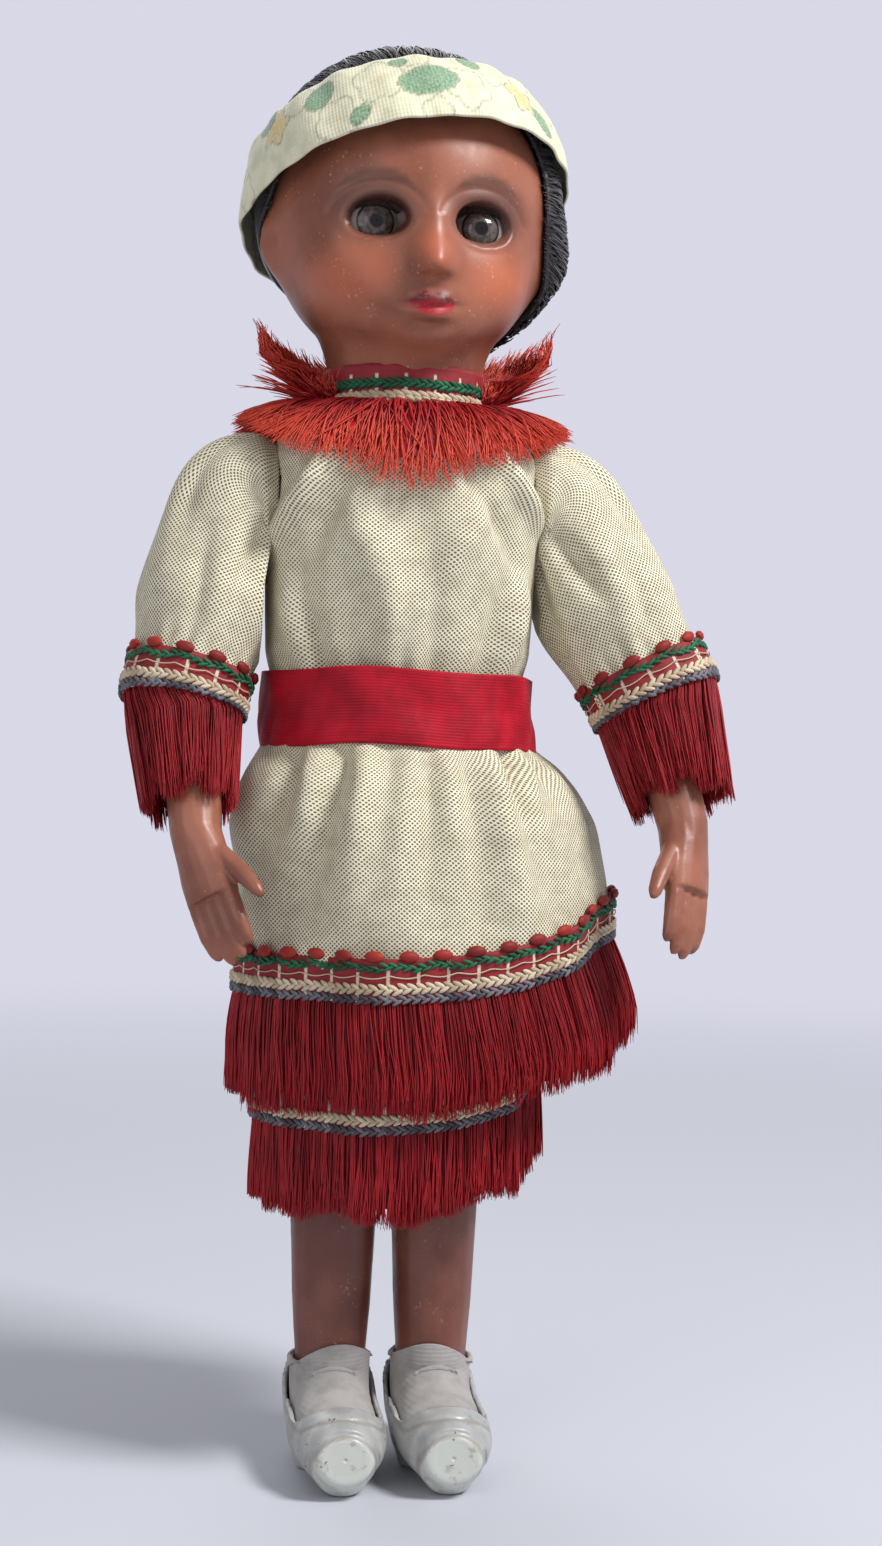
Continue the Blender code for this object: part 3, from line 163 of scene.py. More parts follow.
# Body, arms and legs: reddish-brown hard plastic, moulded in halves. It has a soft gloss, a slightly
# cloudy colour and dust in its hollows. The arms have mitten hands with grooves between the fingers.
def blended(tree, share, first, second):
    """The first colour where share is 0, the second where it is 1."""
    return put(tree, "Mix", {0: share, 6: first, 7: second}, data_type="RGBA").outputs[2]


def sums(tree, operation, first, second=0.0):
    """The result of a sum, named by Blender's own word for it."""
    return put(tree, "Math", {0: first, 1: second}, operation=operation).outputs[0]


def ranged(tree, value, low, high, to_low=0.0, to_high=1.0):
    """Turns low to high into to_low to to_high, smoothly and within them."""
    values = {"Value": value, "From Min": low, "From Max": high, "To Min": to_low, "To Max": to_high}
    return put(tree, "MapRange", values, interpolation_type="SMOOTHSTEP").outputs["Result"]


def speckled(tree, place, scale, detail=3.0, roughness=0.55):
    """Noise between 0 and 1, mostly near its middle."""
    values = {"Vector": place, "Scale": scale, "Detail": detail, "Roughness": roughness}
    return put(tree, "TexNoise", values).outputs[0]


def start_effect(name, inputs, outputs):
    """Starts a node group. Returns its tree, its input sockets and its output sockets."""
    tree = bpy.data.node_groups.new(name, "ShaderNodeTree")
    for socket, kind, value in inputs:
        made = tree.interface.new_socket(socket, in_out="INPUT", socket_type="NodeSocket" + kind)
        if value is not None:
            made.default_value = value
    for socket, kind in outputs:
        tree.interface.new_socket(socket, in_out="OUTPUT", socket_type="NodeSocket" + kind)
    return tree, tree.nodes.new("NodeGroupInput").outputs, tree.nodes.new("NodeGroupOutput").inputs


def use_effect(tree, effect, values):
    """Places a node group in a material and returns its outputs."""
    made = tree.nodes.new("ShaderNodeGroup")
    made.node_tree = effect
    for name, value in values.items():
        if isinstance(value, bpy.types.NodeSocket):
            tree.links.new(value, made.inputs[name])
        else:
            made.inputs[name].default_value = value
    return made.outputs


def start_finish(name, **shader_values):
    """Starts a material. Returns it, its tree and its shader."""
    made = bpy.data.materials.new(name)
    made.use_nodes = True
    shader = made.node_tree.nodes["Principled BSDF"]
    for socket, value in shader_values.items():
        shader.inputs[socket.replace("_", " ")].default_value = value
    return made, made.node_tree, shader


def connect(tree, shader, colour=None, roughness=None, height=None, depth=0.0, strength=1.0):
    """Feeds a material's colour and roughness, and its height through a bump."""
    if colour is not None:
        tree.links.new(colour, shader.inputs["Base Color"])
    if roughness is not None:
        tree.links.new(roughness, shader.inputs["Roughness"])
    if height is not None:
        values = {"Height": height, "Distance": depth, "Strength": strength}
        tree.links.new(put(tree, "Bump", values).outputs[0], shader.inputs["Normal"])


def build_cloudy_plastic():
    """Colour that clouds from light to deep, fine grain, and pale dust."""
    tree, given, out = start_effect(
        "cloudy_plastic",
        (
            ("Place", "Vector", None),
            ("Light", "Color", (0.5, 0.2, 0.1, 1)),
            ("Deep", "Color", (0.2, 0.06, 0.03, 1)),
            ("Dust", "Color", (0.6, 0.5, 0.4, 1)),
            ("Dustiness", "Float", 0.3),
        ),
        (("Colour", "Color"), ("Roughness", "Float"), ("Height", "Float")),
    )
    clouds = ranged(tree, speckled(tree, given["Place"], 95, 4), 0.36, 0.66)
    grain = speckled(tree, given["Place"], 1500, 2)
    colour = blended(tree, clouds, given["Light"], given["Deep"])
    specks = ranged(tree, speckled(tree, given["Place"], 2300, 1), 0.62, 0.8)
    patches = ranged(tree, speckled(tree, given["Place"], 160, 3), 0.45, 0.7)
    dust = sums(tree, "MULTIPLY", sums(tree, "MULTIPLY", specks, patches), given["Dustiness"])
    tree.links.new(blended(tree, dust, colour, given["Dust"]), out["Colour"])
    rough = sums(tree, "ADD", ranged(tree, patches, 0, 1, 0.38, 0.5), sums(tree, "MULTIPLY", dust, 0.3))
    tree.links.new(rough, out["Roughness"])
    tree.links.new(sums(tree, "ADD", grain, sums(tree, "MULTIPLY", clouds, 2.0)), out["Height"])
    return tree


cloudy_plastic = build_cloudy_plastic()
skin_light = (0.31, 0.108, 0.063, 1)
skin_deep = (0.21, 0.068, 0.039, 1)
skin_dust = (0.55, 0.36, 0.26, 1)


def build_skin(name, light, deep):
    """The doll's moulded plastic, clouded between the two shades given to it."""
    made, tree, shader = start_finish(name, IOR=1.45, Coat_Weight=0.04, Coat_Roughness=0.3)
    place = put(tree, "TexCoord").outputs["Object"]
    found = use_effect(
        tree, cloudy_plastic,
        {"Place": place, "Light": light, "Deep": deep, "Dust": skin_dust, "Dustiness": 0.5},
    )
    connect(tree, shader, found["Colour"], found["Roughness"], found["Height"], 0.00002, 0.5)
    return made


skin = build_skin("brown_moulded_plastic", skin_light, skin_deep)
# The legs' plastic is the arms' plastic painted darker: painted shade under the skirt.
shaded_leg_skin = build_skin("moulded_plastic_in_painted_shade", (0.20, 0.066, 0.044, 1), (0.13, 0.040, 0.027, 1))
arm_grain = 0.00024
leg_grain = 0.00036


def moulded(name, node, body, finish, grain, polish):
    """A smooth-skinned copy of a moulded solid: grain is its finest detail, polish rounds it off."""
    made = bpy.data.objects.new(name, frame["nodes"][node].data.copy())
    bpy.context.scene.collection.objects.link(made)
    skinning = made.modifiers.new("skinning", "REMESH")
    skinning.mode = "VOXEL"
    skinning.voxel_size = grain
    polishing = made.modifiers.new("polishing", "SMOOTH")
    polishing.iterations = polish
    mesh = bpy.data.meshes.new_from_object(made.evaluated_get(bpy.context.evaluated_depsgraph_get()))
    made.modifiers.clear()
    made.data = mesh
    mesh.name = name
    mesh.materials.clear()
    mesh.materials.append(finish)
    mesh.shade_smooth()
    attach(made, body)
    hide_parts(node)


for side in ("left", "right"):
    moulded(f"{side}_arm_skin", f"{side}_arm", f"{side}_arm", skin, arm_grain, 7)
    moulded(f"{side}_shaded_leg_skin", f"{side}_leg", f"{side}_leg", shaded_leg_skin, leg_grain, 30)
for node in ("trunk_front", "trunk_back"):
    frame["nodes"][node].material_slots[0].material = skin


# Stringing and eye works: a rubber loop from arm to arm, steel pegs, pin, washer and wire, a grey
# moulded bracket and a cast weight. They lie inside the doll, and keep their plain turned shapes.
def build_works_finish(name, light, deep, metallic, roughness):
    """A plain finish for a hidden piece, clouded between two shades."""
    made, tree, shader = start_finish(name, Metallic=metallic)
    place = put(tree, "TexCoord").outputs["Object"]
    cloud = speckled(tree, place, 700, 3)
    connect(
        tree, shader, blended(tree, ranged(tree, cloud, 0.35, 0.65), light, deep),
        ranged(tree, cloud, 0.3, 0.7, roughness, roughness + 0.15), cloud, 0.00003, 0.4,
    )
    return made


works_finishes = {
    "steel": build_works_finish("drawn_steel", (0.62, 0.62, 0.62, 1), (0.42, 0.4, 0.38, 1), 1.0, 0.28),
    "lead": build_works_finish("cast_lead", (0.28, 0.28, 0.3, 1), (0.18, 0.18, 0.19, 1), 1.0, 0.5),
    "rubber": build_works_finish("aged_rubber", (0.66, 0.56, 0.4, 1), (0.5, 0.4, 0.26, 1), 0.0, 0.6),
    "card": build_works_finish("grey_bracket", (0.5, 0.5, 0.48, 1), (0.4, 0.4, 0.39, 1), 0.0, 0.5),
}
for node, kind in (
    ("rubber_band", "rubber"), ("hip_pin", "steel"), ("neck_washer", "steel"), ("neck_peg", "steel"),
    ("eye_wire", "steel"), ("eye_weight", "lead"), ("eye_bracket", "card"),
    ("left_arm_post", "steel"), ("right_arm_post", "steel"),
):
    frame["nodes"][node].material_slots[0].material = works_finishes[kind]


# Head: one moulded shell with full cheeks, a small nose, lips painted red and thin painted brows.
# The eye openings show sleeping eyes with lids and lashes, which turn on a wire inside.
eye_axis = next(j for j in frame["joints"] if j["name"] == "eye_roll")["axis"]
head_turn = math.atan2(eye_axis[1], eye_axis[0])
head_centre = np.array([0.0, 0.0, 0.175])
head_half_width = 0.0198
head_half_depth = 0.0186
head_half_height = 0.0215
neck_radius = 0.0104
neck_foot = 0.1475
neck_head = 0.1537
eye_spread = 0.0073
eye_depth = 0.0114
eye_level = 0.171
eye_radius = 0.0042
eye_opening = (0.0040, 0.0028)
lid_relief = 0.00016
opening_depth = 0.0034
brow_middle = (0.0078, 0.0061)
brow_half_length = 0.0046
brow_drop = 0.0015
brow_thickness = 0.0008
lid_shade_middle = (0.0080, 0.0026)
lid_shade_size = (0.0068, 0.0044)
cheek_middle = (0.0105, 0.1635)
cheek_size = (0.0065, 0.005)
nose_level = 0.1665
nose_blush_size = (0.003, 0.004)
mouth_level = 0.1597
mouth_line_size = (0.0040, 0.00022)
lips_half_width = 0.0034
upper_lip_height = 0.0013
lower_lip_height = 0.0018

# Bumps on the head's egg: longitude, latitude, their spreads, and height as a share of half depth
HEAD_BUMP_SHARES = np.array([
    (0, -50, 30, 13, 0.2), (0, -38, 42, 16, 0.13), (0, -40, 11, 6, 0.05), (0, -24.5, 8.5, 7, 0.16),
    (0, -14, 7, 10, 0.07), (38, -31, 20, 15, 0.075), (-38, -31, 20, 15, 0.075),
    (23, -12, 13, 9, -0.05), (-23, -12, 13, 9, -0.05), (0, 22, 45, 24, 0.035),
    (84, -16, 9, 15, 0.07), (-84, -16, 9, 15, 0.07), (180, 10, 60, 40, 0.05),
])
# Finer ones: nose tip and wings, nostrils, lips, the line between them, chin, lids and ears
FACE_BUMP_SHARES = np.array([
    (0, -26.5, 4.5, 3.6, 0.045), (6.5, -28.5, 3, 2.6, 0.028), (-6.5, -28.5, 3, 2.6, 0.028),
    (2.8, -30.8, 1.6, 1.2, -0.03), (-2.8, -30.8, 1.6, 1.2, -0.03), (0, -33.8, 1.8, 2.2, -0.012),
    (2.8, -37.2, 3.4, 1.5, 0.028), (-2.8, -37.2, 3.4, 1.5, 0.028), (0, -41.4, 5.0, 1.9, 0.036),
    (0, -39.3, 7.5, 0.7, -0.03), (0, -44.8, 6, 2, -0.022), (0, -52, 9, 5.5, 0.05),
    (10, -39.4, 2.2, 2.2, -0.014), (-10, -39.4, 2.2, 2.2, -0.014), (-58, -24, 20, 16, 0.02),
    (84, -14, 3.4, 9, 0.05), (-84, -14, 3.4, 9, 0.05), (80, -14, 2.6, 5.5, -0.06),
    (-80, -14, 2.6, 5.5, -0.06), (92, -16, 5, 10, 0.04), (-92, -16, 5, 10, 0.04),
])


def head_radius(longitude, latitude, tables=(HEAD_BUMP_SHARES,)):
    """Distance from the head's centre to its skin. Longitude 0 is the face, 90 the doll's left."""
    lon, lat = np.radians(longitude), np.radians(latitude)
    radius = 1 / np.sqrt(
        (np.cos(lat) * np.sin(lon) / head_half_width) ** 2
        + (np.cos(lat) * np.cos(lon) / head_half_depth) ** 2
        + (np.sin(lat) / head_half_height) ** 2
    )
    narrowing = np.maximum(0.2, np.cos(lat))
    for bump_lon, bump_lat, lon_spread, lat_spread, share in np.concatenate(tables):
        away = ((longitude - bump_lon + 180) % 360 - 180) * narrowing / lon_spread
        up = (latitude - bump_lat) / lat_spread
        radius = radius + share * head_half_depth * np.exp(-(away**2) - up**2)
    return radius


def head_places(longitude, latitude, grow=0.0, tables=(HEAD_BUMP_SHARES,)):
    """Places on the head in the doll's own frame, grown outwards from its skin."""
    lon, lat = np.radians(longitude), np.radians(latitude)
    way = np.stack([np.cos(lat) * np.sin(lon), -np.cos(lat) * np.cos(lon), np.sin(lat)], -1)
    return head_centre + way * (head_radius(longitude, latitude, tables) + grow)[..., None]


def grid_faces(rows, columns, round_across=False):
    """Four-sided faces of a grid of points, joined round when its columns close on themselves."""
    r, c = np.meshgrid(np.arange(rows - 1), np.arange(columns - (not round_across)), indexing="ij")
    n = (c + 1) % columns
    faces = np.stack([r * columns + c, r * columns + n, (r + 1) * columns + n, (r + 1) * columns + c], -1)
    return faces.reshape(-1, 4)


def make_piece(name, points, faces, finish, body, slot=None, stands_for=(), marks=None):
    """A mesh from places in the doll's frame. marks are values kept at its points for the material."""
    mesh = bpy.data.meshes.new(name)
    points = np.asarray(points, float).reshape(-1, 3)
    if body in ("head", "eyes"):
        c, s = math.cos(head_turn), math.sin(head_turn)
        points = points @ np.array([[c, s, 0], [-s, c, 0], [0, 0, 1]])
    points = points + doll_axis
    if isinstance(faces, np.ndarray):
        corners = faces.shape[1]
        mesh.vertices.add(len(points))
        mesh.vertices.foreach_set("co", points.astype(np.float32).ravel())
        mesh.loops.add(faces.size)
        mesh.loops.foreach_set("vertex_index", faces.astype(np.int32).ravel())
        mesh.polygons.add(len(faces))
        mesh.polygons.foreach_set("loop_start", np.arange(0, faces.size, corners, dtype=np.int32))
        mesh.update(calc_edges=True)
        mesh.validate()
    else:
        mesh.from_pydata(points.tolist(), [], faces)
    for mark, values in (marks or {}).items():
        values = np.asarray(values, np.float32)
        kind = "FLOAT_VECTOR" if values.size == 3 * len(points) else "FLOAT"
        made_mark = mesh.attributes.new(mark, kind, "POINT")
        made_mark.data.foreach_set("vector" if kind == "FLOAT_VECTOR" else "value", values.ravel())
    mesh.materials.append(finish)
    mesh.shade_smooth()
    made = bpy.data.objects.new(name, mesh)
    bpy.context.scene.collection.objects.link(made)
    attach(made, body)
    if stands_for:
        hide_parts(*stands_for)
    return made


def mark(tree, name, output="Fac"):
    """Reads a value kept at the mesh's points."""
    return put(tree, "Attribute", attribute_name=name).outputs[output]


def build_face_finish():
    """The moulded plastic with its paint: blushed cheeks, thin brows and worn red lips. Painted shade
    darkens the lids, the eye openings, the line between the lips and the upper lip.
    """
    made, tree, shader = start_finish(
        "painted_face_plastic", IOR=1.45, Specular_IOR_Level=0.32, Coat_Weight=0.04, Coat_Roughness=0.3
    )
    place = put(tree, "TexCoord").outputs["Object"]
    found = use_effect(
        tree, cloudy_plastic,
        {"Place": place, "Light": skin_light, "Deep": skin_deep, "Dust": skin_dust, "Dustiness": 1.0},
    )
    painted = found["Colour"]
    # Painted shade: one dark mark lies in the eye openings, above the eyes and along the mouth's line,
    # another over the lids under the brows, and that one also holds a painted lash line under each eye.
    # Blush and brows are paint.
    for name, strength, paint in (
        ("blush", 0.5, (0.62, 0.16, 0.075, 1)), ("lid_shade_and_lash_line", 0.6, (0.06, 0.034, 0.03, 1)),
        ("hollow", 0.7, (0.05, 0.024, 0.02, 1)), ("brow", 0.5, (0.03, 0.014, 0.01, 1)),
    ):
        painted = blended(tree, sums(tree, "MULTIPLY", mark(tree, name), strength), painted, paint)
    worn = ranged(tree, speckled(tree, place, 1900, 2), 0.3, 0.5)
    lips = sums(tree, "MULTIPLY", mark(tree, "lips"), worn)
    # The upper lip is painted dark: painted shade on the lip that faces down.
    red = blended(tree, mark(tree, "upper_lip_shade"), (0.38, 0.012, 0.026, 1), (0.10, 0.014, 0.014, 1))
    painted = blended(tree, lips, painted, red)
    connect(tree, shader, painted, found["Roughness"], found["Height"], 0.00002, 0.5)
    return made


def soft_edge(value, inside, outside):
    """1 where value is below inside, 0 above outside, smooth between."""
    share = np.clip((outside - value) / (outside - inside), 0, 1)
    return share * share * (3 - 2 * share)


def build_head_shell():
    """Neck and head as one skin: fine over the face, coarser behind, sunk at the eye openings.

    Its marks say where the face is painted, and where shade is painted over the lids, in the eye openings
    and on the lips.
    """
    fine = np.arange(-62, 62, 0.8)
    around = np.concatenate([fine, np.arange(62, 298, 3.9)])
    upward = np.concatenate([np.arange(-55, 4, 0.8), np.arange(4, 86.5, 2.4), [88.5]])
    lon, lat = np.meshgrid(around, upward)
    skin_places = head_places(lon, lat, 0.0, (HEAD_BUMP_SHARES, FACE_BUMP_SHARES))
    turn = np.radians(around)
    neck_rows = [
        np.stack([radius * np.sin(turn), -radius * np.cos(turn), np.full_like(turn, z)], -1)
        for z, radius in (
            (neck_foot, neck_radius * 0.92), (neck_foot + 0.0004, neck_radius), (0.15, neck_radius),
            (0.152, neck_radius), (neck_head, neck_radius),
        )
    ]
    rows = np.concatenate([np.array(neck_rows), skin_places])
    for _ in range(6):
        rows[3:12] += 0.5 * ((rows[2:11] + rows[4:13]) / 2 - rows[3:12])
    x, y, z = rows[..., 0], rows[..., 1], rows[..., 2]
    front = y < -0.006
    marks = {name: np.zeros(x.shape) for name in ("lips", "upper_lip_shade", "brow", "blush", "lid_shade_and_lash_line", "hollow")}
    outward = rows - head_centre
    outward /= np.linalg.norm(outward, axis=-1, keepdims=True)
    for side in (1, -1):
        across = (x - side * eye_spread) / eye_opening[0]
        up = (z - eye_level) / eye_opening[1]
        around_eye = np.where(front, np.sqrt(across**2 + (up * np.where(up > 0, 0.93, 1.08)) ** 2), 9)
        rim = np.exp(-(((around_eye - 1.2) / 0.16) ** 2)) * lid_relief
        fold = np.exp(-(((around_eye - 1.62) / 0.12) ** 2)) * (up > 0.2) * lid_relief
        sunk = soft_edge(around_eye, 0.93, 1.05) * opening_depth
        rows += outward * (rim - fold - sunk)[..., None]
        # Painted shade in each eye opening and over its upper rim.
        marks["hollow"] += soft_edge(around_eye, 0.98, 1.12)
        marks["hollow"] += 0.3 * soft_edge(around_eye, 1.0, 1.7) * (up > 0)
        bend = (x - side * brow_middle[0]) / brow_half_length
        brow_line = eye_level + brow_middle[1] - brow_drop * bend**2
        thick = brow_thickness * np.clip(1.15 - bend * bend * 0.75, 0.1, 1)
        inside = soft_edge(np.abs(bend), 0.8, 1.2) * front
        marks["brow"] += soft_edge(np.abs(z - brow_line) / thick, 0.2, 1.5) * inside
        # Painted shade over each lid, under the brow.
        lid_shade = np.hypot(
            (x - side * lid_shade_middle[0]) / lid_shade_size[0],
            (z - eye_level - lid_shade_middle[1]) / lid_shade_size[1],
        )
        marks["lid_shade_and_lash_line"] += soft_edge(lid_shade, 0.35, 1.25) * front
        # A painted lash line under each eye, kept in the same mark as the lid's painted shade.
        below = np.abs(around_eye - 1.18) / 0.07
        marks["lid_shade_and_lash_line"] += 0.5 * soft_edge(below, 0.4, 1.4) * (up < 0)
        cheek = np.hypot(
            (x - side * cheek_middle[0]) / cheek_size[0], (z - cheek_middle[1]) / cheek_size[1]
        )
        marks["blush"] += soft_edge(cheek, 0.1, 1.3) * front
    nose = np.hypot(x / nose_blush_size[0], (z - nose_level) / nose_blush_size[1])
    marks["blush"] += soft_edge(nose, 0.2, 1.3) * front * 0.8
    bow = 0.00025 * np.cos(x / 0.0031 * 2 * math.pi) - 0.0001
    height = np.where(z > mouth_level, upper_lip_height - bow, lower_lip_height)
    lips = np.hypot(x / lips_half_width, (z - mouth_level) / height)
    marks["lips"] = soft_edge(lips, 0.82, 1.08) * front
    # Painted shade on the upper lip, which faces down under the nose.
    marks["upper_lip_shade"] = marks["lips"] * soft_edge(-z, -mouth_level - 0.0002, -mouth_level + 0.0002)
    # Painted shade along the line between the lips.
    line = np.hypot(x / mouth_line_size[0], (z - mouth_level) / mouth_line_size[1])
    marks["hollow"] = np.clip(marks["hollow"] + soft_edge(line, 0.5, 1.3) * front * 0.9, 0, 1)
    faces = grid_faces(*x.shape, round_across=True)
    top = x.size - len(around)
    points = np.concatenate([rows.reshape(-1, 3), rows[-1].mean(0)[None]])
    cap = [(top + k, top + (k + 1) % len(around), len(points) - 1) for k in range(len(around))]
    marks = {name: np.append(values.ravel(), 0) for name, values in marks.items()}
    make_piece(
        "head_shell", points, faces.tolist() + cap, build_face_finish(), "head", "brown_plastic",
        ("face", "head_back"), marks,
    )


build_head_shell()


# Eyes: a glossy ball with a dark brown iris, a moulded upper lid in the head's brown, and a row of
# stiff black lashes set in the lid's edge. Both balls and their lashes turn together. The ball's white
# and the lid are painted dark here: painted shade in the eye opening.
lid_edge = 30.0
lid_swell = 0.022
lash_count = 56
lash_length = 0.0010
lash_lift = 0.0006
lash_radii = (0.00006, 0.00002)


def build_eye_finish():
    """Iris, pupil and ball by the angle from the gaze, in degrees, and the lid over them. The ball's white
    and the lid are painted dark as painted shade in the eye opening.
    """
    made, tree, shader = start_finish("glossy_eye_and_lid", Roughness=0.05, IOR=1.4)
    gaze = mark(tree, "gaze")
    place = put(tree, "TexCoord").outputs["Object"]
    rays = speckled(tree, place, 1600, 2)
    iris = blended(tree, ranged(tree, rays, 0.35, 0.65), (0.05, 0.038, 0.034, 1), (0.12, 0.092, 0.08, 1))
    rimmed = blended(tree, ranged(tree, gaze, 31, 37), iris, (0.004, 0.004, 0.004, 1))
    pupil = blended(tree, ranged(tree, gaze, 11, 16), (0.004, 0.003, 0.003, 1), rimmed)
    # Painted shade: the ball's white is a dark greyed brown.
    ball = blended(tree, ranged(tree, gaze, 37, 41), pupil, (0.24, 0.21, 0.19, 1))
    # Painted shade: the lid is a much deeper brown than the head.
    lid = blended(tree, mark(tree, "lid"), ball, (0.10, 0.048, 0.036, 1))
    tree.links.new(lid, shader.inputs["Base Color"])
    tree.links.new(ranged(tree, mark(tree, "lid"), 0, 1, 0.05, 0.45), shader.inputs["Roughness"])
    return made


def build_eyes():
    """Both balls, each with the lid that is moulded on it and the lashes along the lid's edge."""
    finish = build_eye_finish()
    lash_finish, tree, shader = start_finish("black_lash", Roughness=0.5)
    wave = speckled(tree, put(tree, "TexCoord").outputs["Object"], 3000, 1)
    connect(tree, shader, blended(tree, wave, (0.004, 0.004, 0.004, 1), (0.02, 0.015, 0.012, 1)))
    shake = random.Random(5)
    around, across = 64, 33
    polar, turn = np.meshgrid(
        np.linspace(0.02, math.pi - 0.02, across), np.arange(around) * 2 * math.pi / around, indexing="ij"
    )
    way = np.stack([np.sin(polar) * np.cos(turn), -np.cos(polar), np.sin(polar) * np.sin(turn)], -1)
    rise = np.degrees(np.arctan2(way[..., 2], -way[..., 1]))
    lid = ((rise > lid_edge) | (way[..., 1] > 0.6)).astype(float)
    for side, name in ((1, "left"), (-1, "right")):
        centre = np.array([side * eye_spread, -eye_depth, eye_level])
        size = eye_radius * (1 + lid_swell * lid)
        make_piece(
            f"{name}_eyeball", centre + way * size[..., None], grid_faces(across, around, True), finish,
            "eyes", "eye_plastic", (f"{name}_eye",), {"gaze": np.degrees(polar), "lid": lid},
        )
        paths = []
        for k in range(lash_count):
            out = -0.94 + 1.88 * (k + shake.random() * 0.5) / lash_count
            edge = math.radians(lid_edge - 1)
            flat = math.sqrt(1 - out * out)
            root = np.array([out, -flat * math.cos(edge), flat * math.sin(edge)])
            way_out = np.array([out * 0.55 + shake.uniform(-0.06, 0.06), -1.0, 0.1 + shake.uniform(0, 0.12)])
            steps = np.linspace(0, 1, 5)[:, None]
            long = lash_length * (0.75 + 0.5 * abs(out)) * shake.uniform(0.85, 1.1)
            lift = np.array([0, 0, lash_lift]) * steps**2
            paths.append(centre + root * eye_radius * 0.99 + way_out * long * steps + lift)
        make_threads(f"{name}_lashes", np.array(paths), np.linspace(*lash_radii, 5), lash_finish, "eyes")


def make_threads(name, paths, radii, finish, body, sides=3, **links):
    """Many thin round threads in one mesh, along paths with as many points each.

    radii run from root to tip. Two marks are kept: how far along a thread a point is, and which it is.
    """
    paths = np.asarray(paths, float)
    count, steps = paths.shape[:2]
    along = np.gradient(paths, axis=1)
    along /= np.linalg.norm(along, axis=-1, keepdims=True) + 1e-12
    aside = np.cross(along, np.array([0.3, 0.2, 0.93]))
    weak = np.linalg.norm(aside, axis=-1) < 0.2
    aside[weak] = np.cross(along[weak], np.array([0.9, -0.3, 0.1]))
    aside /= np.linalg.norm(aside, axis=-1, keepdims=True)
    over = np.cross(along, aside)
    radii = np.broadcast_to(np.asarray(radii, float), (count, steps))
    turn = np.arange(sides) * 2 * math.pi / sides
    ring = aside[:, :, None] * np.cos(turn)[:, None] + over[:, :, None] * np.sin(turn)[:, None]
    points = paths[:, :, None] + ring * radii[:, :, None, None]
    one = grid_faces(steps, sides, True)
    faces = (one[None] + (np.arange(count) * steps * sides)[:, None, None]).reshape(-1, 4)
    which = np.random.default_rng(count).random(count)[:, None, None]
    marks = {
        "along": np.broadcast_to(np.linspace(0, 1, steps)[None, :, None], (count, steps, sides)),
        "which": np.broadcast_to(which, (count, steps, sides)),
    }
    make_piece(name, points.reshape(-1, 3), faces, finish, body, marks=marks, **links)


build_eyes()


# Wig: black hair sewn to a cap, combed back from the hairline and held by the headband, cut short
# at the nape. More of it shows on the doll's left side of the face.
wig_ease = 0.0008
hair_count = 3400
hair_radius = 0.00015

# Angle round from the crown, then how far forward of the back of the head the hair reaches
HAIRLINE = ((0, 124), (35, 122), (62, 112), (84, 104), (104, 98), (126, 84), (150, 66), (180, 54))


def hairline(around):
    """How far forward of the back of the head the hair reaches, at an angle round from the crown."""
    signed = (around + 180) % 360 - 180
    table = np.array(HAIRLINE, float)
    reach = np.interp(np.abs(signed), table[:, 0], table[:, 1])
    left = 16 * np.exp(-(((signed - 98) / 30) ** 2))
    return reach + left - 26 * np.exp(-(((signed + 128) / 24) ** 2))


def wig_places(around, out, grow):
    """Places on the wig: around turns from the crown, out is the angle from the back of the head."""
    a, o = np.radians(around), np.radians(out)
    way = np.stack([np.sin(o) * np.sin(a), np.cos(o) + 0 * a, np.sin(o) * np.cos(a)], -1)
    longitude = np.degrees(np.arctan2(way[..., 0], -way[..., 1]))
    latitude = np.degrees(np.arcsin(np.clip(way[..., 2], -1, 1)))
    return head_places(longitude, latitude, grow)


def build_hair_finish():
    """Black hair in slightly different shades, browner at its tips."""
    made, tree, shader = start_finish("black_hair", Roughness=0.38, Anisotropic=0.4, Sheen_Weight=0.15)
    place = put(tree, "TexCoord").outputs["Object"]
    streak = sums(tree, "ADD", mark(tree, "which"), speckled(tree, place, 300, 2))
    colour = blended(tree, ranged(tree, streak, 0.5, 1.4), (0.006, 0.006, 0.008, 1), (0.03, 0.028, 0.03, 1))
    tip = sums(tree, "MULTIPLY", ranged(tree, mark(tree, "along"), 0.7, 1.0), 0.35)
    connect(tree, shader, blended(tree, tip, colour, (0.05, 0.035, 0.028, 1)))
    return made


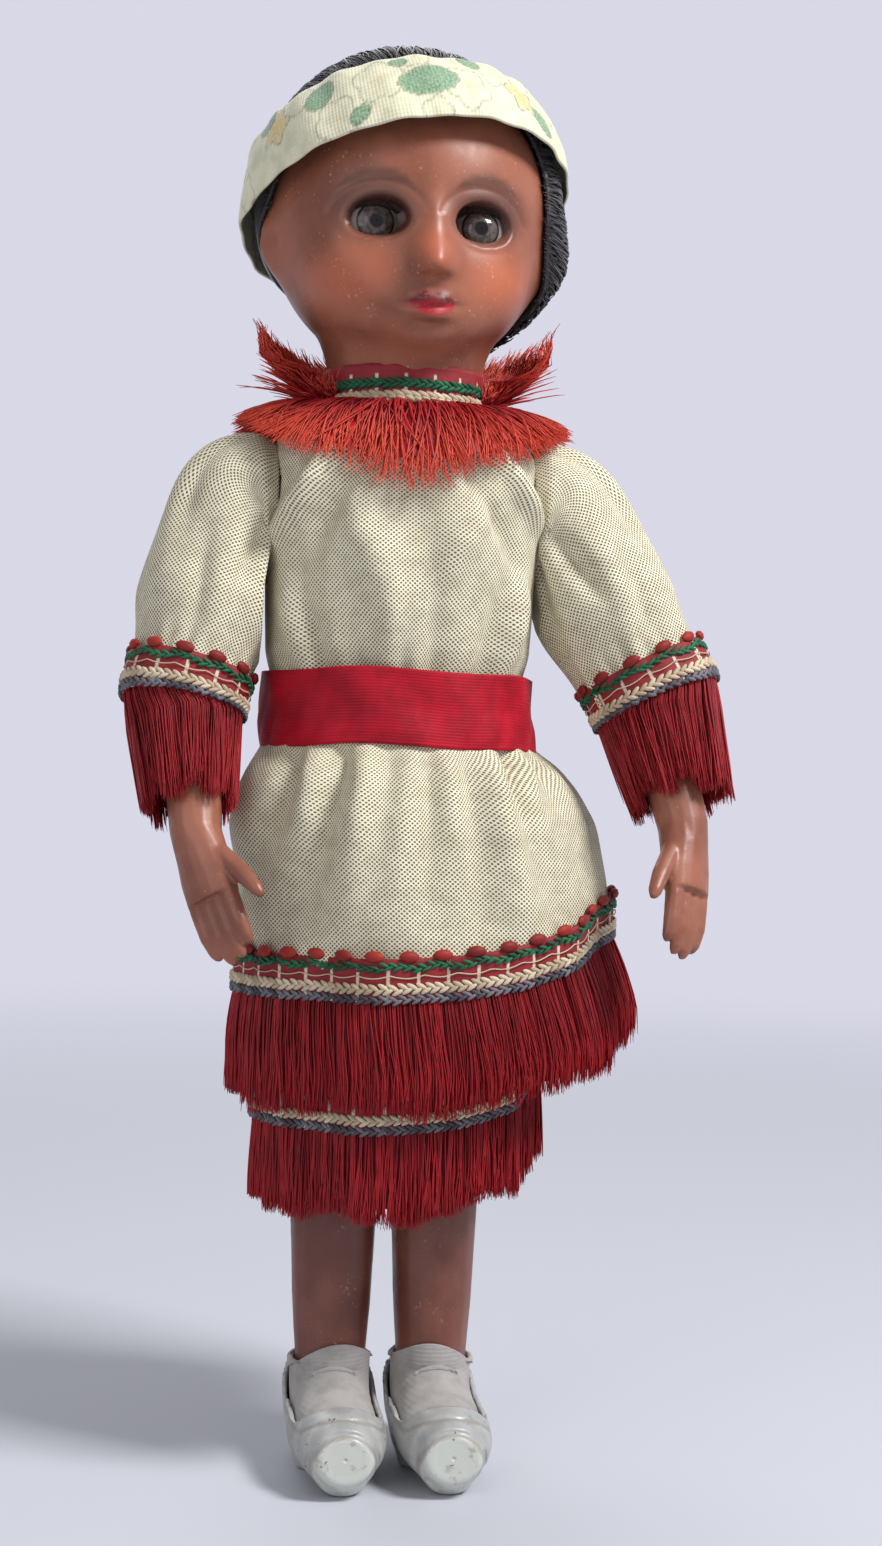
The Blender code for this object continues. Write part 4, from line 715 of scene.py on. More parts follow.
def build_wig():
    """A closed cap under the hair, and single hairs that run from near the back to the hairline."""
    finish = build_hair_finish()
    around = np.arange(0, 360, 3.0)
    share = np.linspace(0.03, 1.0, 26)
    shares, turns = np.meshgrid(share, around, indexing="ij")
    out = hairline(turns) * shares
    grow = 0.0022 - 0.0012 * shares**6
    cap = wig_places(turns, out, grow)
    inner = wig_places(turns[::-1], out[::-1], np.full_like(out, wig_ease * 0.6))
    rows = np.concatenate([cap, inner])
    make_piece(
        "wig_cap", rows, grid_faces(len(rows), len(around), True), finish, "head", "black_hair", ("wig",),
        {"along": np.zeros(rows.shape[:2]), "which": np.random.default_rng(2).random(rows.shape[:2])},
    )
    dice = np.random.default_rng(11)
    count, steps = hair_count, 15
    start = dice.uniform(0, 360, count)
    travel = np.linspace(0, 1, steps)[None, :]
    first = dice.uniform(0.02, 0.62, count)[:, None]
    last = dice.uniform(0.9, 1.03, count)[:, None]
    swirl = dice.normal(0, 5, count)[:, None] * travel
    waves = dice.normal(0, 1.2, (count, 1)) * np.sin(travel * 7 + dice.uniform(0, 6, (count, 1)))
    turn = start[:, None] + swirl + waves
    share = first + (last - first) * travel
    lift = dice.uniform(0.0017, 0.0028, count)[:, None] - 0.0012 * share**8
    signed = (turn + 180) % 360 - 180
    lift = lift * (1 - 0.6 * np.exp(-(((signed + 112) / 34) ** 2)) * np.clip(share * 2 - 0.8, 0, 1))
    nape = np.exp(-(((turn % 360 - 180) / 60) ** 2)) * 0.0006
    paths = wig_places(turn, hairline(turn) * share, lift + nape)
    taper = np.array([0.6, *[1.0] * 11, 0.9, 0.7, 0.3])
    make_threads("wig_hair", paths, taper * hair_radius, finish, "head", slot="black_hair")


build_wig()


# Headband: a cream ribbon printed with green leaves and ochre flowers in thin dark outlines, wound
# once round the head over the hair, high on the forehead and low at the nape.
headband_width = 0.0106
headband_tilt = math.radians(21.5)
headband_rise = 0.0059
headband_lean = math.radians(8)
headband_seat = 0.0037
headband_thickness = 0.0003
motif_pitch = 0.0042
plain_front = 0.050


def band_places(turn, across, grow):
    """Places on the ribbon: turn 0 is its front, and across runs from -1 at its lower edge to 1."""
    c, s = math.cos(headband_lean), math.sin(headband_lean)
    roll = np.array([[c, 0, s], [0, 1, 0], [-s, 0, c]])
    normal = np.array([0, math.sin(headband_tilt), math.cos(headband_tilt)]) @ roll
    front = np.array([0, -math.cos(headband_tilt), math.sin(headband_tilt)]) @ roll
    aside = np.array([1.0, 0, 0]) @ roll
    out = front * np.cos(turn)[..., None] + aside * np.sin(turn)[..., None]
    way = out * head_half_depth + normal * (headband_rise + across * headband_width / 2)[..., None]
    way /= np.linalg.norm(way, axis=-1, keepdims=True)
    longitude = np.degrees(np.arctan2(way[..., 0], -way[..., 1]))
    latitude = np.degrees(np.arcsin(np.clip(way[..., 2], -1, 1)))
    return head_places(longitude, latitude, grow)


def build_print_finish():
    """The ribbon's cream ground, its green and ochre print with outlines, and a fine plain weave."""
    made, tree, shader = start_finish("printed_ribbon", Roughness=0.62, Sheen_Weight=0.2)
    place = mark(tree, "cloth", "Vector")
    grain = speckled(tree, place, 2600, 2)
    patch = speckled(tree, place, 420, 3)
    ground = blended(tree, ranged(tree, patch, 0.35, 0.7), (0.74, 0.70, 0.50, 1), (0.58, 0.58, 0.40, 1))
    green = blended(tree, ranged(tree, grain, 0.3, 0.7), (0.12, 0.25, 0.14, 1), (0.30, 0.42, 0.26, 1))
    ochre = blended(tree, ranged(tree, grain, 0.3, 0.7), (0.62, 0.42, 0.10, 1), (0.72, 0.60, 0.30, 1))
    leafy = blended(tree, mark(tree, "leaf"), ground, green)
    flowered = blended(tree, mark(tree, "flower"), leafy, ochre)
    inked = sums(tree, "MULTIPLY", mark(tree, "outline"), 0.75)
    lined = blended(tree, inked, flowered, (0.05, 0.07, 0.04, 1))
    threads = {"Vector": place, "Scale": 640.0, "Distortion": 0.3}
    warp, weft = (put(tree, "TexWave", threads, bands_direction=way).outputs[1] for way in "XY")
    weave = sums(tree, "ADD", warp, weft)
    connect(tree, shader, lined, None, weave, 0.00005, 0.5)
    return made


# The print over the forehead, in millimetres: kind, place along and across, half length, share, turn
FRONT_MOTIFS = (
    ("blossom", -6.2, 0.8, 3.7, 0.95, 0.3), ("blossom", 5.8, -1.2, 3.5, 0.95, -0.4),
    ("blossom", -12.6, -3.2, 3.2, 1.0, 0.9), ("blossom", 11.6, 2.9, 3.2, 1.0, 0.5),
    ("blossom", -0.4, 4.6, 2.6, 1.0, 0.2), ("blossom", -19.0, 3.0, 3.1, 1.0, 0.0),
    ("blossom", 21.6, 1.2, 3.2, 1.0, 0.7), ("blossom", 0.8, -5.0, 2.2, 1.0, 0.1),
    ("leaf", 0.6, -0.3, 4.3, 0.52, 0.08), ("leaf", -14.9, 1.6, 2.5, 0.8, 0.8),
    ("leaf", 8.0, 3.9, 1.8, 0.8, -0.2), ("leaf", 18.9, -2.7, 2.2, 0.6, -0.7),
    ("leaf", -3.0, 3.6, 1.3, 0.7, 0.0), ("flower", -22.8, 0.6, 2.9, 1.0, 0.0),
    ("flower", 15.4, -0.4, 3.1, 1.0, 0.4), ("leaf", -9.4, -3.6, 1.6, 0.6, 0.5),
)


def print_pattern(along, across, length):
    """Shares of leaf, flower and outline: placed by the table in front, and by fixed dice behind."""
    dice = random.Random(23)
    leaf, flower, outline = (np.zeros(along.shape) for _ in range(3))
    motifs = [(kind, *(v / 1000 for v in place), share, turn) for kind, *place, share, turn in FRONT_MOTIFS]
    for k in range(int((length - plain_front) / motif_pitch)):
        middle = plain_front / 2 + 0.001 + (k + dice.uniform(0.2, 0.8)) * motif_pitch
        level = (0.0026 if k % 2 else -0.0026) + dice.uniform(-0.001, 0.001)
        kind = ("blossom", "leaf", "blossom", "flower")[k % 4]
        shown = (middle + length / 2) % length - length / 2
        motifs.append((kind, shown, level, dice.uniform(0.0022, 0.0034), 0.8, dice.uniform(-1, 1)))
    for kind, middle, level, size, share, turn in motifs:
        u = (along - middle) * math.cos(turn) + (across - level) * math.sin(turn)
        v = (across - level) * math.cos(turn) - (along - middle) * math.sin(turn)
        bearing = np.arctan2(v / share, u)
        away = np.hypot(u, v / share) / size
        if kind == "leaf":
            body = away * (1 + 0.03 * np.cos(11 * bearing))
            shape = soft_edge(body, 0.93, 1.0)
            rays = soft_edge(np.abs(((bearing * 3.2) % 1) - 0.5), 0.04, 0.13)
            rays = rays * soft_edge(-body, -0.95, -0.25)
            leaf = np.maximum(leaf * (1 - shape), shape)
            flower = flower * (1 - shape)
            outline = np.maximum(outline * (1 - shape), shape * rays * 0.6)
        elif kind == "flower":
            body = away / (0.80 + 0.16 * np.cos(5 * bearing))
            shape = soft_edge(body, 0.85, 1.0)
            flower = np.maximum(flower * (1 - shape), shape * (1.0 - 0.4 * np.clip(body, 0, 1)))
            leaf, outline = leaf * (1 - shape), outline * (1 - shape)
        else:
            body = away / (0.76 + 0.24 * np.abs(np.cos(2.5 * bearing)))
            shape = soft_edge(body, 0.93, 1.0)
            leaf, flower, outline = leaf * (1 - shape), flower * (1 - shape), outline * (1 - shape)
            rays = soft_edge(np.abs(((bearing * 2.4) % 1) - 0.5), 0.02, 0.06)
            rays = rays * soft_edge(body, 0.35, 0.7)
            outline = np.maximum(outline, rays * shape * 0.22)
            flower = np.maximum(flower, 0.4 * soft_edge(body, 0.12, 0.26))
        line = 0.6 if kind == "blossom" else 0.9
        outline = np.maximum(outline, soft_edge(np.abs(body - 1.0) * size, 0.00007, 0.00022) * line)
    return leaf, flower, outline


def build_headband():
    """The ribbon, a little puckered, with its print kept at its points."""
    around, across = 620, 34
    turn, over = np.meshgrid(np.linspace(-math.pi, math.pi, around), np.linspace(-1, 1, across))
    pucker = 0.00022 * np.sin(turn * 9 + over * 2.2) * np.sin(turn * 4 + 1)
    pucker = pucker + 0.00012 * np.sin(turn * 23 + over)
    curl = 0.0003 * np.abs(over) ** 6
    rows = band_places(turn, over, headband_seat + 0.0002 + pucker - curl)
    steps = np.linalg.norm(np.diff(rows[across // 2], axis=0), axis=1)
    length = np.concatenate([[0], np.cumsum(steps)])
    along = np.broadcast_to(length - length[-1] / 2, turn.shape)
    down = over * headband_width / 2
    leaf, flower, outline = print_pattern(along, down, length[-1])
    made = make_piece(
        "printed_headband", rows, grid_faces(across, around), build_print_finish(), "head",
        "printed_ribbon", ("headband",),
        {"cloth": np.stack([along, down, 0 * down], -1), "leaf": leaf, "flower": flower, "outline": outline},
    )
    thickness = made.modifiers.new("ribbon_thickness", "SOLIDIFY")
    thickness.thickness = headband_thickness


build_headband()


# Tunic: coarse cream cloth, woven of thick threads with small dark gaps between them. The bodice has
# round armholes. The skirt is gathered at the waist, puffs out over the trim and is a little soiled.
waist_z = 0.105
shoulder_z = 0.134
neck_z = neck_foot
skirt_length = 0.053
skirt_half_width = 0.0258
skirt_half_depth = 0.0222
underskirt_half_width = 0.0184
underskirt_half_depth = 0.0202
skirt_lean = 0.0044
underskirt_lean = 0.001
bodice_half_width = 0.0187
seam_lap = 0.0004
armhole_radius = 0.0083
armhole_inner_edge = 0.01
weave_pitch = 0.00062
cloth_thickness = 0.00035


def eased(table, at):
    """Reads the columns of a table at many places and rounds its corners."""
    table = np.array(table, float)
    table = table[np.argsort(table[:, 0])]
    fine = np.linspace(table[0, 0], table[-1, 0], 241)
    window = np.hanning(27)[1:-1]
    columns = []
    for column in table.T[1:]:
        padded = np.pad(np.interp(fine, table[:, 0], column), 12, mode="reflect", reflect_type="odd")
        columns.append(np.interp(at, fine, np.convolve(padded, window / window.sum(), "valid")))
    return columns


def build_weave():
    """Threads over and under: pale crossings, dark gaps and a little soiling."""
    tree, given, out = start_effect(
        "coarse_weave",
        (("Place", "Vector", None), ("Soil", "Float", 0.5)),
        (("Colour", "Color"), ("Height", "Float")),
    )
    parts = put(tree, "SeparateXYZ", {0: given["Place"]}).outputs
    turns = 2 * math.pi / weave_pitch
    wobble = put(tree, "TexNoise", {"Vector": given["Place"], "Scale": 900.0, "Detail": 1.0}).outputs[0]
    shake = sums(tree, "MULTIPLY", wobble, 1.3)
    over = sums(tree, "SINE", sums(tree, "ADD", sums(tree, "MULTIPLY", parts[0], turns), shake))
    under = sums(tree, "SINE", sums(tree, "ADD", sums(tree, "MULTIPLY", parts[1], turns), shake))
    knots = ranged(tree, sums(tree, "MULTIPLY", over, under), 0.0, 0.62, 1.0, 0.0)
    slub = speckled(tree, given["Place"], 420, 3)
    pale = blended(tree, ranged(tree, slub, 0.35, 0.7), (0.83, 0.775, 0.58, 1), (0.70, 0.64, 0.46, 1))
    woven = blended(tree, knots, (0.13, 0.105, 0.055, 1), pale)
    grime = ranged(tree, speckled(tree, given["Place"], 75, 4), 0.46, 0.78)
    fine_grime = ranged(tree, speckled(tree, given["Place"], 380, 3), 0.4, 0.7)
    grime = sums(tree, "MULTIPLY", sums(tree, "MULTIPLY", grime, fine_grime), given["Soil"])
    tree.links.new(blended(tree, grime, woven, (0.33, 0.27, 0.16, 1)), out["Colour"])
    tree.links.new(knots, out["Height"])
    return tree


def build_tunic_finish():
    """The cream cloth: its weave keeps its scale by the lengths kept at the cloth's points."""
    made, tree, shader = start_finish("cream_tunic_cloth", Roughness=0.75, Sheen_Weight=0.06)
    found = use_effect(tree, build_weave(), {"Place": mark(tree, "cloth", "Vector"), "Soil": 0.5})
    connect(tree, shader, found["Colour"], None, found["Height"], 0.00018, 0.9)
    return made


tunic_finish = build_tunic_finish()


def cloth_marks(rows):
    """Lengths along and down a grid of cloth, so that a weave keeps its scale on it."""
    along = np.linalg.norm(np.diff(rows, axis=1), axis=-1).mean(0)
    down = np.linalg.norm(np.diff(rows, axis=0), axis=-1).mean(1)
    u, v = np.meshgrid(np.concatenate([[0], np.cumsum(along)]), np.concatenate([[0], np.cumsum(down)]))
    return {"cloth": np.stack([u, v, 0 * u], -1)}


def make_cloth(name, rows, finish, body, node, faces=None):
    """A sheet of cloth with its thickness."""
    marks = cloth_marks(rows)
    if faces is None:
        faces = grid_faces(*rows.shape[:2])
    made = make_piece(name, rows, faces, finish, body, None, (node,), marks)
    thickness = made.modifiers.new("cloth_thickness", "SOLIDIFY")
    thickness.thickness = cloth_thickness


def body_ring(turn, half_width, half_depth, square, lean=0.0):
    """Level places round the body. turn runs from the middle of the back, by the doll's left."""
    a = 2 * math.pi * turn + math.pi / 2
    power = 1 - square / 2
    across, along = -np.cos(a), np.sin(a)
    x = half_width * np.copysign(np.abs(across) ** power, across) + lean
    return x, half_depth * np.copysign(np.abs(along) ** power, along)


# Height share from the waist to the neck, then half width, half depth and squareness
BODICE_SIZES = (
    (0.0, 0.0182, 0.0152, 0.0), (0.14, 0.0183, 0.0152, 0.1), (0.34, 0.0186, 0.0159, 0.4),
    (0.54, bodice_half_width, 0.0162, 0.6), (0.72, bodice_half_width, 0.0155, 0.6),
    (0.85, 0.0186, 0.0140, 0.5), (0.93, 0.0170, 0.0127, 0.35), (0.975, 0.0145, 0.0121, 0.1),
    (1.0, 0.0117, 0.0117, 0.0),
)
# Folds over the chest: place across, slant, half width, relief, then their middle's height and half length
CHEST_FOLDS = (
    (-0.0142, -0.62, 0.0016, 0.0028, 0.1345, 0.0090), (-0.0108, -0.55, 0.0017, -0.0016, 0.1320, 0.0080),
    (0.0152, 0.70, 0.0016, 0.0026, 0.1350, 0.0085), (0.0116, 0.60, 0.0018, -0.0015, 0.1310, 0.0075),
    (-0.0152, 0.20, 0.0014, 0.0021, 0.1160, 0.0065), (-0.0128, 0.30, 0.0014, -0.0014, 0.1145, 0.0065),
    (0.0144, -0.25, 0.0015, 0.0020, 0.1170, 0.0075), (0.0116, -0.20, 0.0017, -0.0014, 0.1165, 0.0085),
    (-0.0050, 0.35, 0.0026, 0.0014, 0.1250, 0.0095), (0.0062, -0.55, 0.0024, 0.0014, 0.1270, 0.0080),
    (0.0010, 0.10, 0.0022, -0.0009, 0.1290, 0.0070), (-0.0078, 0.10, 0.0020, -0.0008, 0.1130, 0.0060),
    (0.0030, -0.10, 0.0024, -0.0007, 0.1130, 0.0060), (0.0080, 0.05, 0.0020, 0.0007, 0.1110, 0.0050),
)


def pushed_out(x, y, z, out):
    """Places round the body, moved straight out from its upright axis."""
    size = np.hypot(x, y)
    return np.stack([x * (1 + out / size), y * (1 + out / size), z], -1)


def build_bodice():
    """The upper cloth, gathered over the waist seam and left out inside the armholes."""
    turn, share = np.meshgrid(np.linspace(0, 1, 221), np.linspace(0, 1, 84))
    half_width, half_depth, square = eased(BODICE_SIZES, share)
    x, y = body_ring(turn, half_width, half_depth, square)
    z = waist_z - seam_lap + (neck_z - seam_lap - waist_z) * share
    front = np.clip(-y / 0.012, 0, 1)
    gather = np.exp(-share / 0.3) * 0.0005 * np.sin(x * 1100 + 2 * np.sin(x * 300))
    gather = gather - 0.0008 * soft_edge(share, 0.1, 0.22)
    drape = np.zeros(x.shape)
    for at, slant, wide, relief, middle, long in CHEST_FOLDS:
        across = (x - at + (z - middle) * slant) / wide
        drape += relief * np.exp(-(across**2) - ((z - middle) / long) ** 2)
    out = gather + drape * front + 0.00022 * np.sin(x * 420 + z * 130) * front
    rows = pushed_out(x, y, z, out)
    faces = grid_faces(*turn.shape)
    middle = rows.reshape(-1, 3)[faces].mean(1)
    hole = np.hypot(middle[:, 1], middle[:, 2] - shoulder_z) < armhole_radius
    hole &= np.abs(middle[:, 0]) > armhole_inner_edge
    make_cloth(
        "bodice_cloth", rows, tunic_finish, "body", "tunic_bodice",
        faces[~hole],
    )


# Depth share from the waist to the lower hem, then half width, half depth and lean
SKIRT_SIZES = (
    (0.0, 0.0182, 0.0152, 0.0), (0.1, 0.0188, 0.0158, 0.0004), (0.2, 0.0233, 0.0199, 0.0016),
    (0.3, 0.0253, 0.0217, 0.0026), (0.45, skirt_half_width, skirt_half_depth, 0.0037),
    (0.6, 0.0259, 0.0223, 0.0043), (0.67, 0.0256, 0.0221, 0.0042), (0.78, 0.0192, 0.0204, 0.0016),
    (1.0, underskirt_half_width, underskirt_half_depth, underskirt_lean),
)
# Pleats under the belt's front: place across, depth and slant
SKIRT_PLEATS = (
    (-0.0072, 0.0031, 0.006), (0.0120, 0.0033, -0.007), (0.0030, 0.0013, 0.001), (-0.0130, 0.0018, 0.008),
    (0.0165, 0.0017, -0.006), (-0.0022, 0.0012, 0.003), (0.0072, 0.0013, -0.003),
)


def build_skirt():
    """The lower cloth: it swells under the waist, and is drawn in again above the underskirt's trim."""
    turn, share = np.meshgrid(np.linspace(0, 1, 301), np.linspace(0, 1, 96))
    half_width, half_depth, lean = eased(SKIRT_SIZES, share)
    x, y = body_ring(turn, half_width, half_depth, 0.0, lean)
    z = waist_z + seam_lap - skirt_length * share
    hang = soft_edge(share, 0.5, 0.66) * soft_edge(share, 0.17, 0.09)
    gathers = 0.0005 * np.sin(turn * 2 * math.pi * 23 + np.sin(turn * 31)) * np.exp(-(share / 0.24) ** 2)
    folds = 0.0008 * np.cos(turn * 2 * math.pi * 7 + 0.6) * np.clip(share / 0.3, 0, 1)
    front = (y < 0).astype(float)
    pleats = np.zeros(turn.shape)
    for middle, depth, slant in SKIRT_PLEATS:
        away = (x - middle + slant * share * 2) / (0.0009 + 0.0036 * share)
        fade = np.exp(-((share / 0.46) ** 2)) * front
        pleats += depth * np.exp(-(away**2)) * fade
        pleats -= 0.45 * depth * np.exp(-((np.abs(away) - 1.9) ** 2)) * fade
    rows = pushed_out(x, y, z, (gathers + folds - pleats) * hang)
    make_cloth(
        "skirt_cloth", rows[:, ::-1], tunic_finish, "body", "tunic_skirt",
    )


build_bodice()
build_skirt()


# Sleeves: tubes of the same cloth that turn with the arms. Each is set into its armhole, puffs softly
# over the shoulder and is drawn in a little at its trim.
arm_seat_x = 0.0152
sleeve_seat_x = 0.0189
shoulder_reach = 0.0083
sleeve_length = 0.0298
arm_swing = math.radians(12)
arm_bent = math.radians(24)
elbow_inward = math.radians(16.5)
piece_gap = 0.0003
belt_edge_z = waist_z + 0.0052
sleeve_cap_radius = 0.0094
armhole_setting = 0.0008
cuff_half_depth = 0.0078
# Each side: its sign, its splay, half width of the sleeve's edge, and how far back the arm swings
ARM_SIDES = {
    "left": (1, math.radians(25.7), 0.0086, math.radians(45)),
    "right": (-1, math.radians(13.3), 0.0078, math.radians(5)),
}


def arm_way(out, forward):
    """The way that a hanging arm points when it is swung out and forward by these angles."""
    return np.array([math.sin(out), -math.cos(out) * math.sin(forward), -math.cos(out) * math.cos(forward)])


def arm_lines(side):
    """Where the left-handed form of an arm starts, and the ways of its upper arm and forearm."""
    splay = ARM_SIDES[side][1]
    start = np.array([arm_seat_x + shoulder_reach, 0.0, shoulder_z])
    return start, arm_way(splay, arm_swing), arm_way(splay - elbow_inward, arm_bent)


def arm_circle(centre, way, half_width, half_depth, turn):
    """Places round an arm. Turn 0 is its outermost point, and a quarter of a turn is its front."""
    first = np.array([1, 0, 0.6]) - way * (way[..., :1] + 0.6 * way[..., 2:])
    first /= np.linalg.norm(first, axis=-1, keepdims=True)
    second = np.cross(way, first)
    a = 2 * math.pi * turn[..., None]
    return centre + first * half_width * np.cos(a) + second * half_depth * np.sin(a)


def clear_of_body(points, side, layers):
    """Presses places of the left-handed form flat where the body is, at rest and as the arm swings.

    A place goes round the shoulder's axis, and comes nearest to the body where its way back ends.
    """
    sign, _, _, back_swing = ARM_SIDES[side]
    y, z = points[..., 1], points[..., 2]
    reach = np.hypot(y, z - shoulder_z)
    nearest = np.maximum(0, np.arctan2(-y, shoulder_z - z) - back_swing)
    y, z = reach * np.sin(nearest), shoulder_z - reach * np.cos(nearest)
    half_width, half_depth, lean = eased(SKIRT_SIZES, (waist_z - z) / skirt_length)
    fold = 0.0008 * np.clip((waist_z - z) / 0.012, 0, 1) + 0.0008 * (z < belt_edge_z)
    narrowed = np.sqrt(np.maximum(0, 1 - (y / (half_depth + fold)) ** 2))
    skirt_side = (half_width + fold) * narrowed + sign * lean
    body_side = np.where(z > belt_edge_z, bodice_half_width, skirt_side)
    points[..., 0] = np.maximum(points[..., 0], body_side + piece_gap + layers)
    return points


# Creases of a sleeve: how far round it, slant, depth, then their middle and length down the sleeve
SLEEVE_CREASES = (
    (0.40, 0.10, 0.0026, 0.30, 0.22), (0.30, -0.12, 0.0017, 0.42, 0.18), (0.62, 0.1, 0.0014, 0.35, 0.25),
    (0.20, 0.10, 0.0011, 0.60, 0.20), (0.10, 0.10, 0.0010, 0.26, 0.16), (0.80, 0.1, 0.0008, 0.45, 0.25),
)


def build_sleeve(side):
    """A tube that starts level in the armhole and bends down along the upper arm to its cuff."""
    sign, _, wide, _ = ARM_SIDES[side]
    start, upper, _ = arm_lines(side)
    turn, share = np.meshgrid(np.linspace(0, 1, 141), np.linspace(0, 1, 84))
    flat = np.array([1.0, 0, 0])
    mix = soft_edge(share, 0.02, 0.36)[..., None]
    way = flat * mix + upper * (1 - mix)
    way /= np.linalg.norm(way, axis=-1, keepdims=True)
    seat = np.array([sleeve_seat_x - armhole_setting, 0.0, shoulder_z])
    bend = start - flat * armhole_setting
    end = start + upper * (sleeve_length + 0.0005)
    s = share[..., None]
    knee = 0.2
    first = seat + (bend - seat) * np.clip(s / knee, 0, 1)
    centre = np.where(s < knee, first, bend + (end - bend) * (s - knee) / (1 - knee))
    for _ in range(40):
        centre[1:-1] += 0.5 * ((centre[:-2] + centre[2:]) / 2 - centre[1:-1])
    puff = 1 + 0.05 * np.exp(-(((share - 0.55) / 0.25) ** 2))
    drawn = soft_edge(share, 0.86, 0.6)
    rounded = sleeve_cap_radius * puff * np.clip(0.86 + share / 0.08 * 0.14, 0, 1)
    half_width = (rounded + (wide - rounded) * drawn)[..., None]
    half_depth = (rounded + (cuff_half_depth - rounded) * drawn)[..., None]
    a = 2 * math.pi * turn
    folds = 0.00028 * np.sin(3 * a + 5 * share + sign) + 0.00018 * np.sin(7 * a - 4 * share)
    gathers = 0.00022 * np.sin(19 * a + sign) * np.exp(-(((share - 0.9) / 0.12) ** 2))
    crease = np.zeros(turn.shape)
    for at, slant, depth, middle, long in SLEEVE_CREASES:
        across = (turn - at - slant * (share - middle)) / 0.03
        crease += depth * np.exp(-(across**2)) * np.exp(-(((share - middle) / long) ** 2))
    fold = ((folds + gathers - crease) * np.clip((share - 0.03) / 0.1, 0, 1))[..., None]
    rows = arm_circle(centre, way, half_width + fold, half_depth + fold, turn)
    layers = np.where(share < 0.05, -0.0014, 0.0012 * soft_edge(share, 0.6, 0.3))
    rows = clear_of_body(rows, side, layers)
    rows[..., 0] *= sign
    if sign > 0:
        rows = rows[:, ::-1]
    make_cloth(
        f"{side}_sleeve_cloth", rows, tunic_finish, f"{side}_arm", f"{side}_sleeve",
    )


for side in ARM_SIDES:
    build_sleeve(side)


# Belt: red grosgrain ribbon, ribbed across. It is wound once round the waist over the tunic's seam,
# sewn down there, and slightly crumpled.
belt_width = 0.0105
belt_rise = 0.0053
belt_half_width = 0.0184
belt_half_depth = 0.0156


def build_ribbon_finish():
    """Ribbed red ribbon, with a painted highlight on its ribs."""
    made, tree, shader = start_finish("red_grosgrain", Roughness=0.65, Specular_IOR_Level=0.2)
    place = mark(tree, "cloth", "Vector")
    ribs = put(tree, "TexWave", {"Vector": place, "Scale": 760.0, "Distortion": 0.6}, bands_direction="Y")
    cloud = speckled(tree, place, 260, 3)
    base = blended(tree, ranged(tree, cloud, 0.3, 0.7), (0.42, 0.003, 0.016, 1), (0.25, 0.002, 0.010, 1))
    # Painted highlight: the ribs' tops are a lighter red.
    colour = blended(tree, sums(tree, "MULTIPLY", ribs.outputs[1], 0.3), base, (0.42, 0.010, 0.030, 1))
    connect(tree, shader, colour, None, ribs.outputs[1], 0.00005, 0.5)
    return made


def build_belt():
    """The ribbon round the waist, laid over the tunic and never wider than its own loop."""
    turn, share = np.meshgrid(np.linspace(0, 1, 301), np.linspace(0, 1, 26))
    z = waist_z + belt_rise - belt_width * share
    half_width, half_depth, lean = eased(SKIRT_SIZES, np.clip((waist_z - z) / skirt_length, 0, 1))
    half_width = np.minimum(half_width, belt_half_width)
    half_depth = np.minimum(half_depth, belt_half_depth)
    x, y = body_ring(turn, half_width + 0.0008, half_depth + 0.0009, 0.0, lean)
    a = turn * 2 * math.pi
    crumple = 0.00016 * np.sin(9 * a + 5 * share) + 0.00022 * np.abs(np.sin(13 * a - 4 * share)) * share
    rows = pushed_out(x, y, z + 0.0003 * np.sin(a * 2 + 1) - 0.0002 * np.sin(5 * a), crumple)
    make_cloth(
        "belt_ribbon", rows[:, ::-1], build_ribbon_finish(), "body", "belt"
    )


build_belt()


# Trims: a machine braid with red picots, a green chain, cream stitches and two slanted chains, and a
# silky dark red fringe of loose threads under it. The same braid edges the neck, cuffs and skirt.
heading_height = 0.0058
braid_repeat = 0.0041
braid_thickness = 0.0005
fringe_tuck = 0.0006
fringe_pitch = 0.00019
fringe_layers = 5
thread_radius = 0.00011
backing_ripples = 3925.0
trim_waves = 0.0008
cuff_round = 0.053
cuff_fringe_length = 0.0158


def build_yarn_finish(name, light, deep, tip=None, roughness=0.6):
    """Dyed yarn: every thread has its own shade, and may change towards its tip."""
    made, tree, shader = start_finish(name, Roughness=roughness, Specular_IOR_Level=0.3)
    place = put(tree, "TexCoord").outputs["Object"]
    own = sums(tree, "ADD", mark(tree, "which"), speckled(tree, place, 420, 2))
    colour = blended(tree, ranged(tree, own, 0.6, 1.4), light, deep)
    if tip:
        colour = blended(tree, ranged(tree, mark(tree, "along"), 0.3, 1.0), colour, tip)
    connect(tree, shader, colour, None, speckled(tree, place, 2600, 2), 0.00006, 0.4)
    return made


def build_braid_finish():
    """The braid's ground: dark red thread with thin cream stitches across it."""
    made, tree, shader = start_finish("braid_ground", Roughness=0.7)
    place = mark(tree, "cloth", "Vector")
    parts = put(tree, "SeparateXYZ", {0: place}).outputs
    across = sums(tree, "FRACT", sums(tree, "MULTIPLY", parts[0], 1 / braid_repeat))
    away = sums(tree, "ABSOLUTE", sums(tree, "SUBTRACT", across, 0.5))
    stitch = ranged(tree, away, 0.035, 0.075, 1.0, 0.0)
    stitch = sums(tree, "MULTIPLY", stitch, ranged(tree, parts[1], 0.0012, 0.0016))
    cloud = speckled(tree, place, 900, 2)
    base = blended(tree, cloud, (0.30, 0.008, 0.014, 1), (0.16, 0.004, 0.008, 1))
    colour = blended(tree, stitch, base, (0.66, 0.55, 0.42, 1))
    connect(tree, shader, colour, None, cloud, 0.0002, 0.6)
    return made


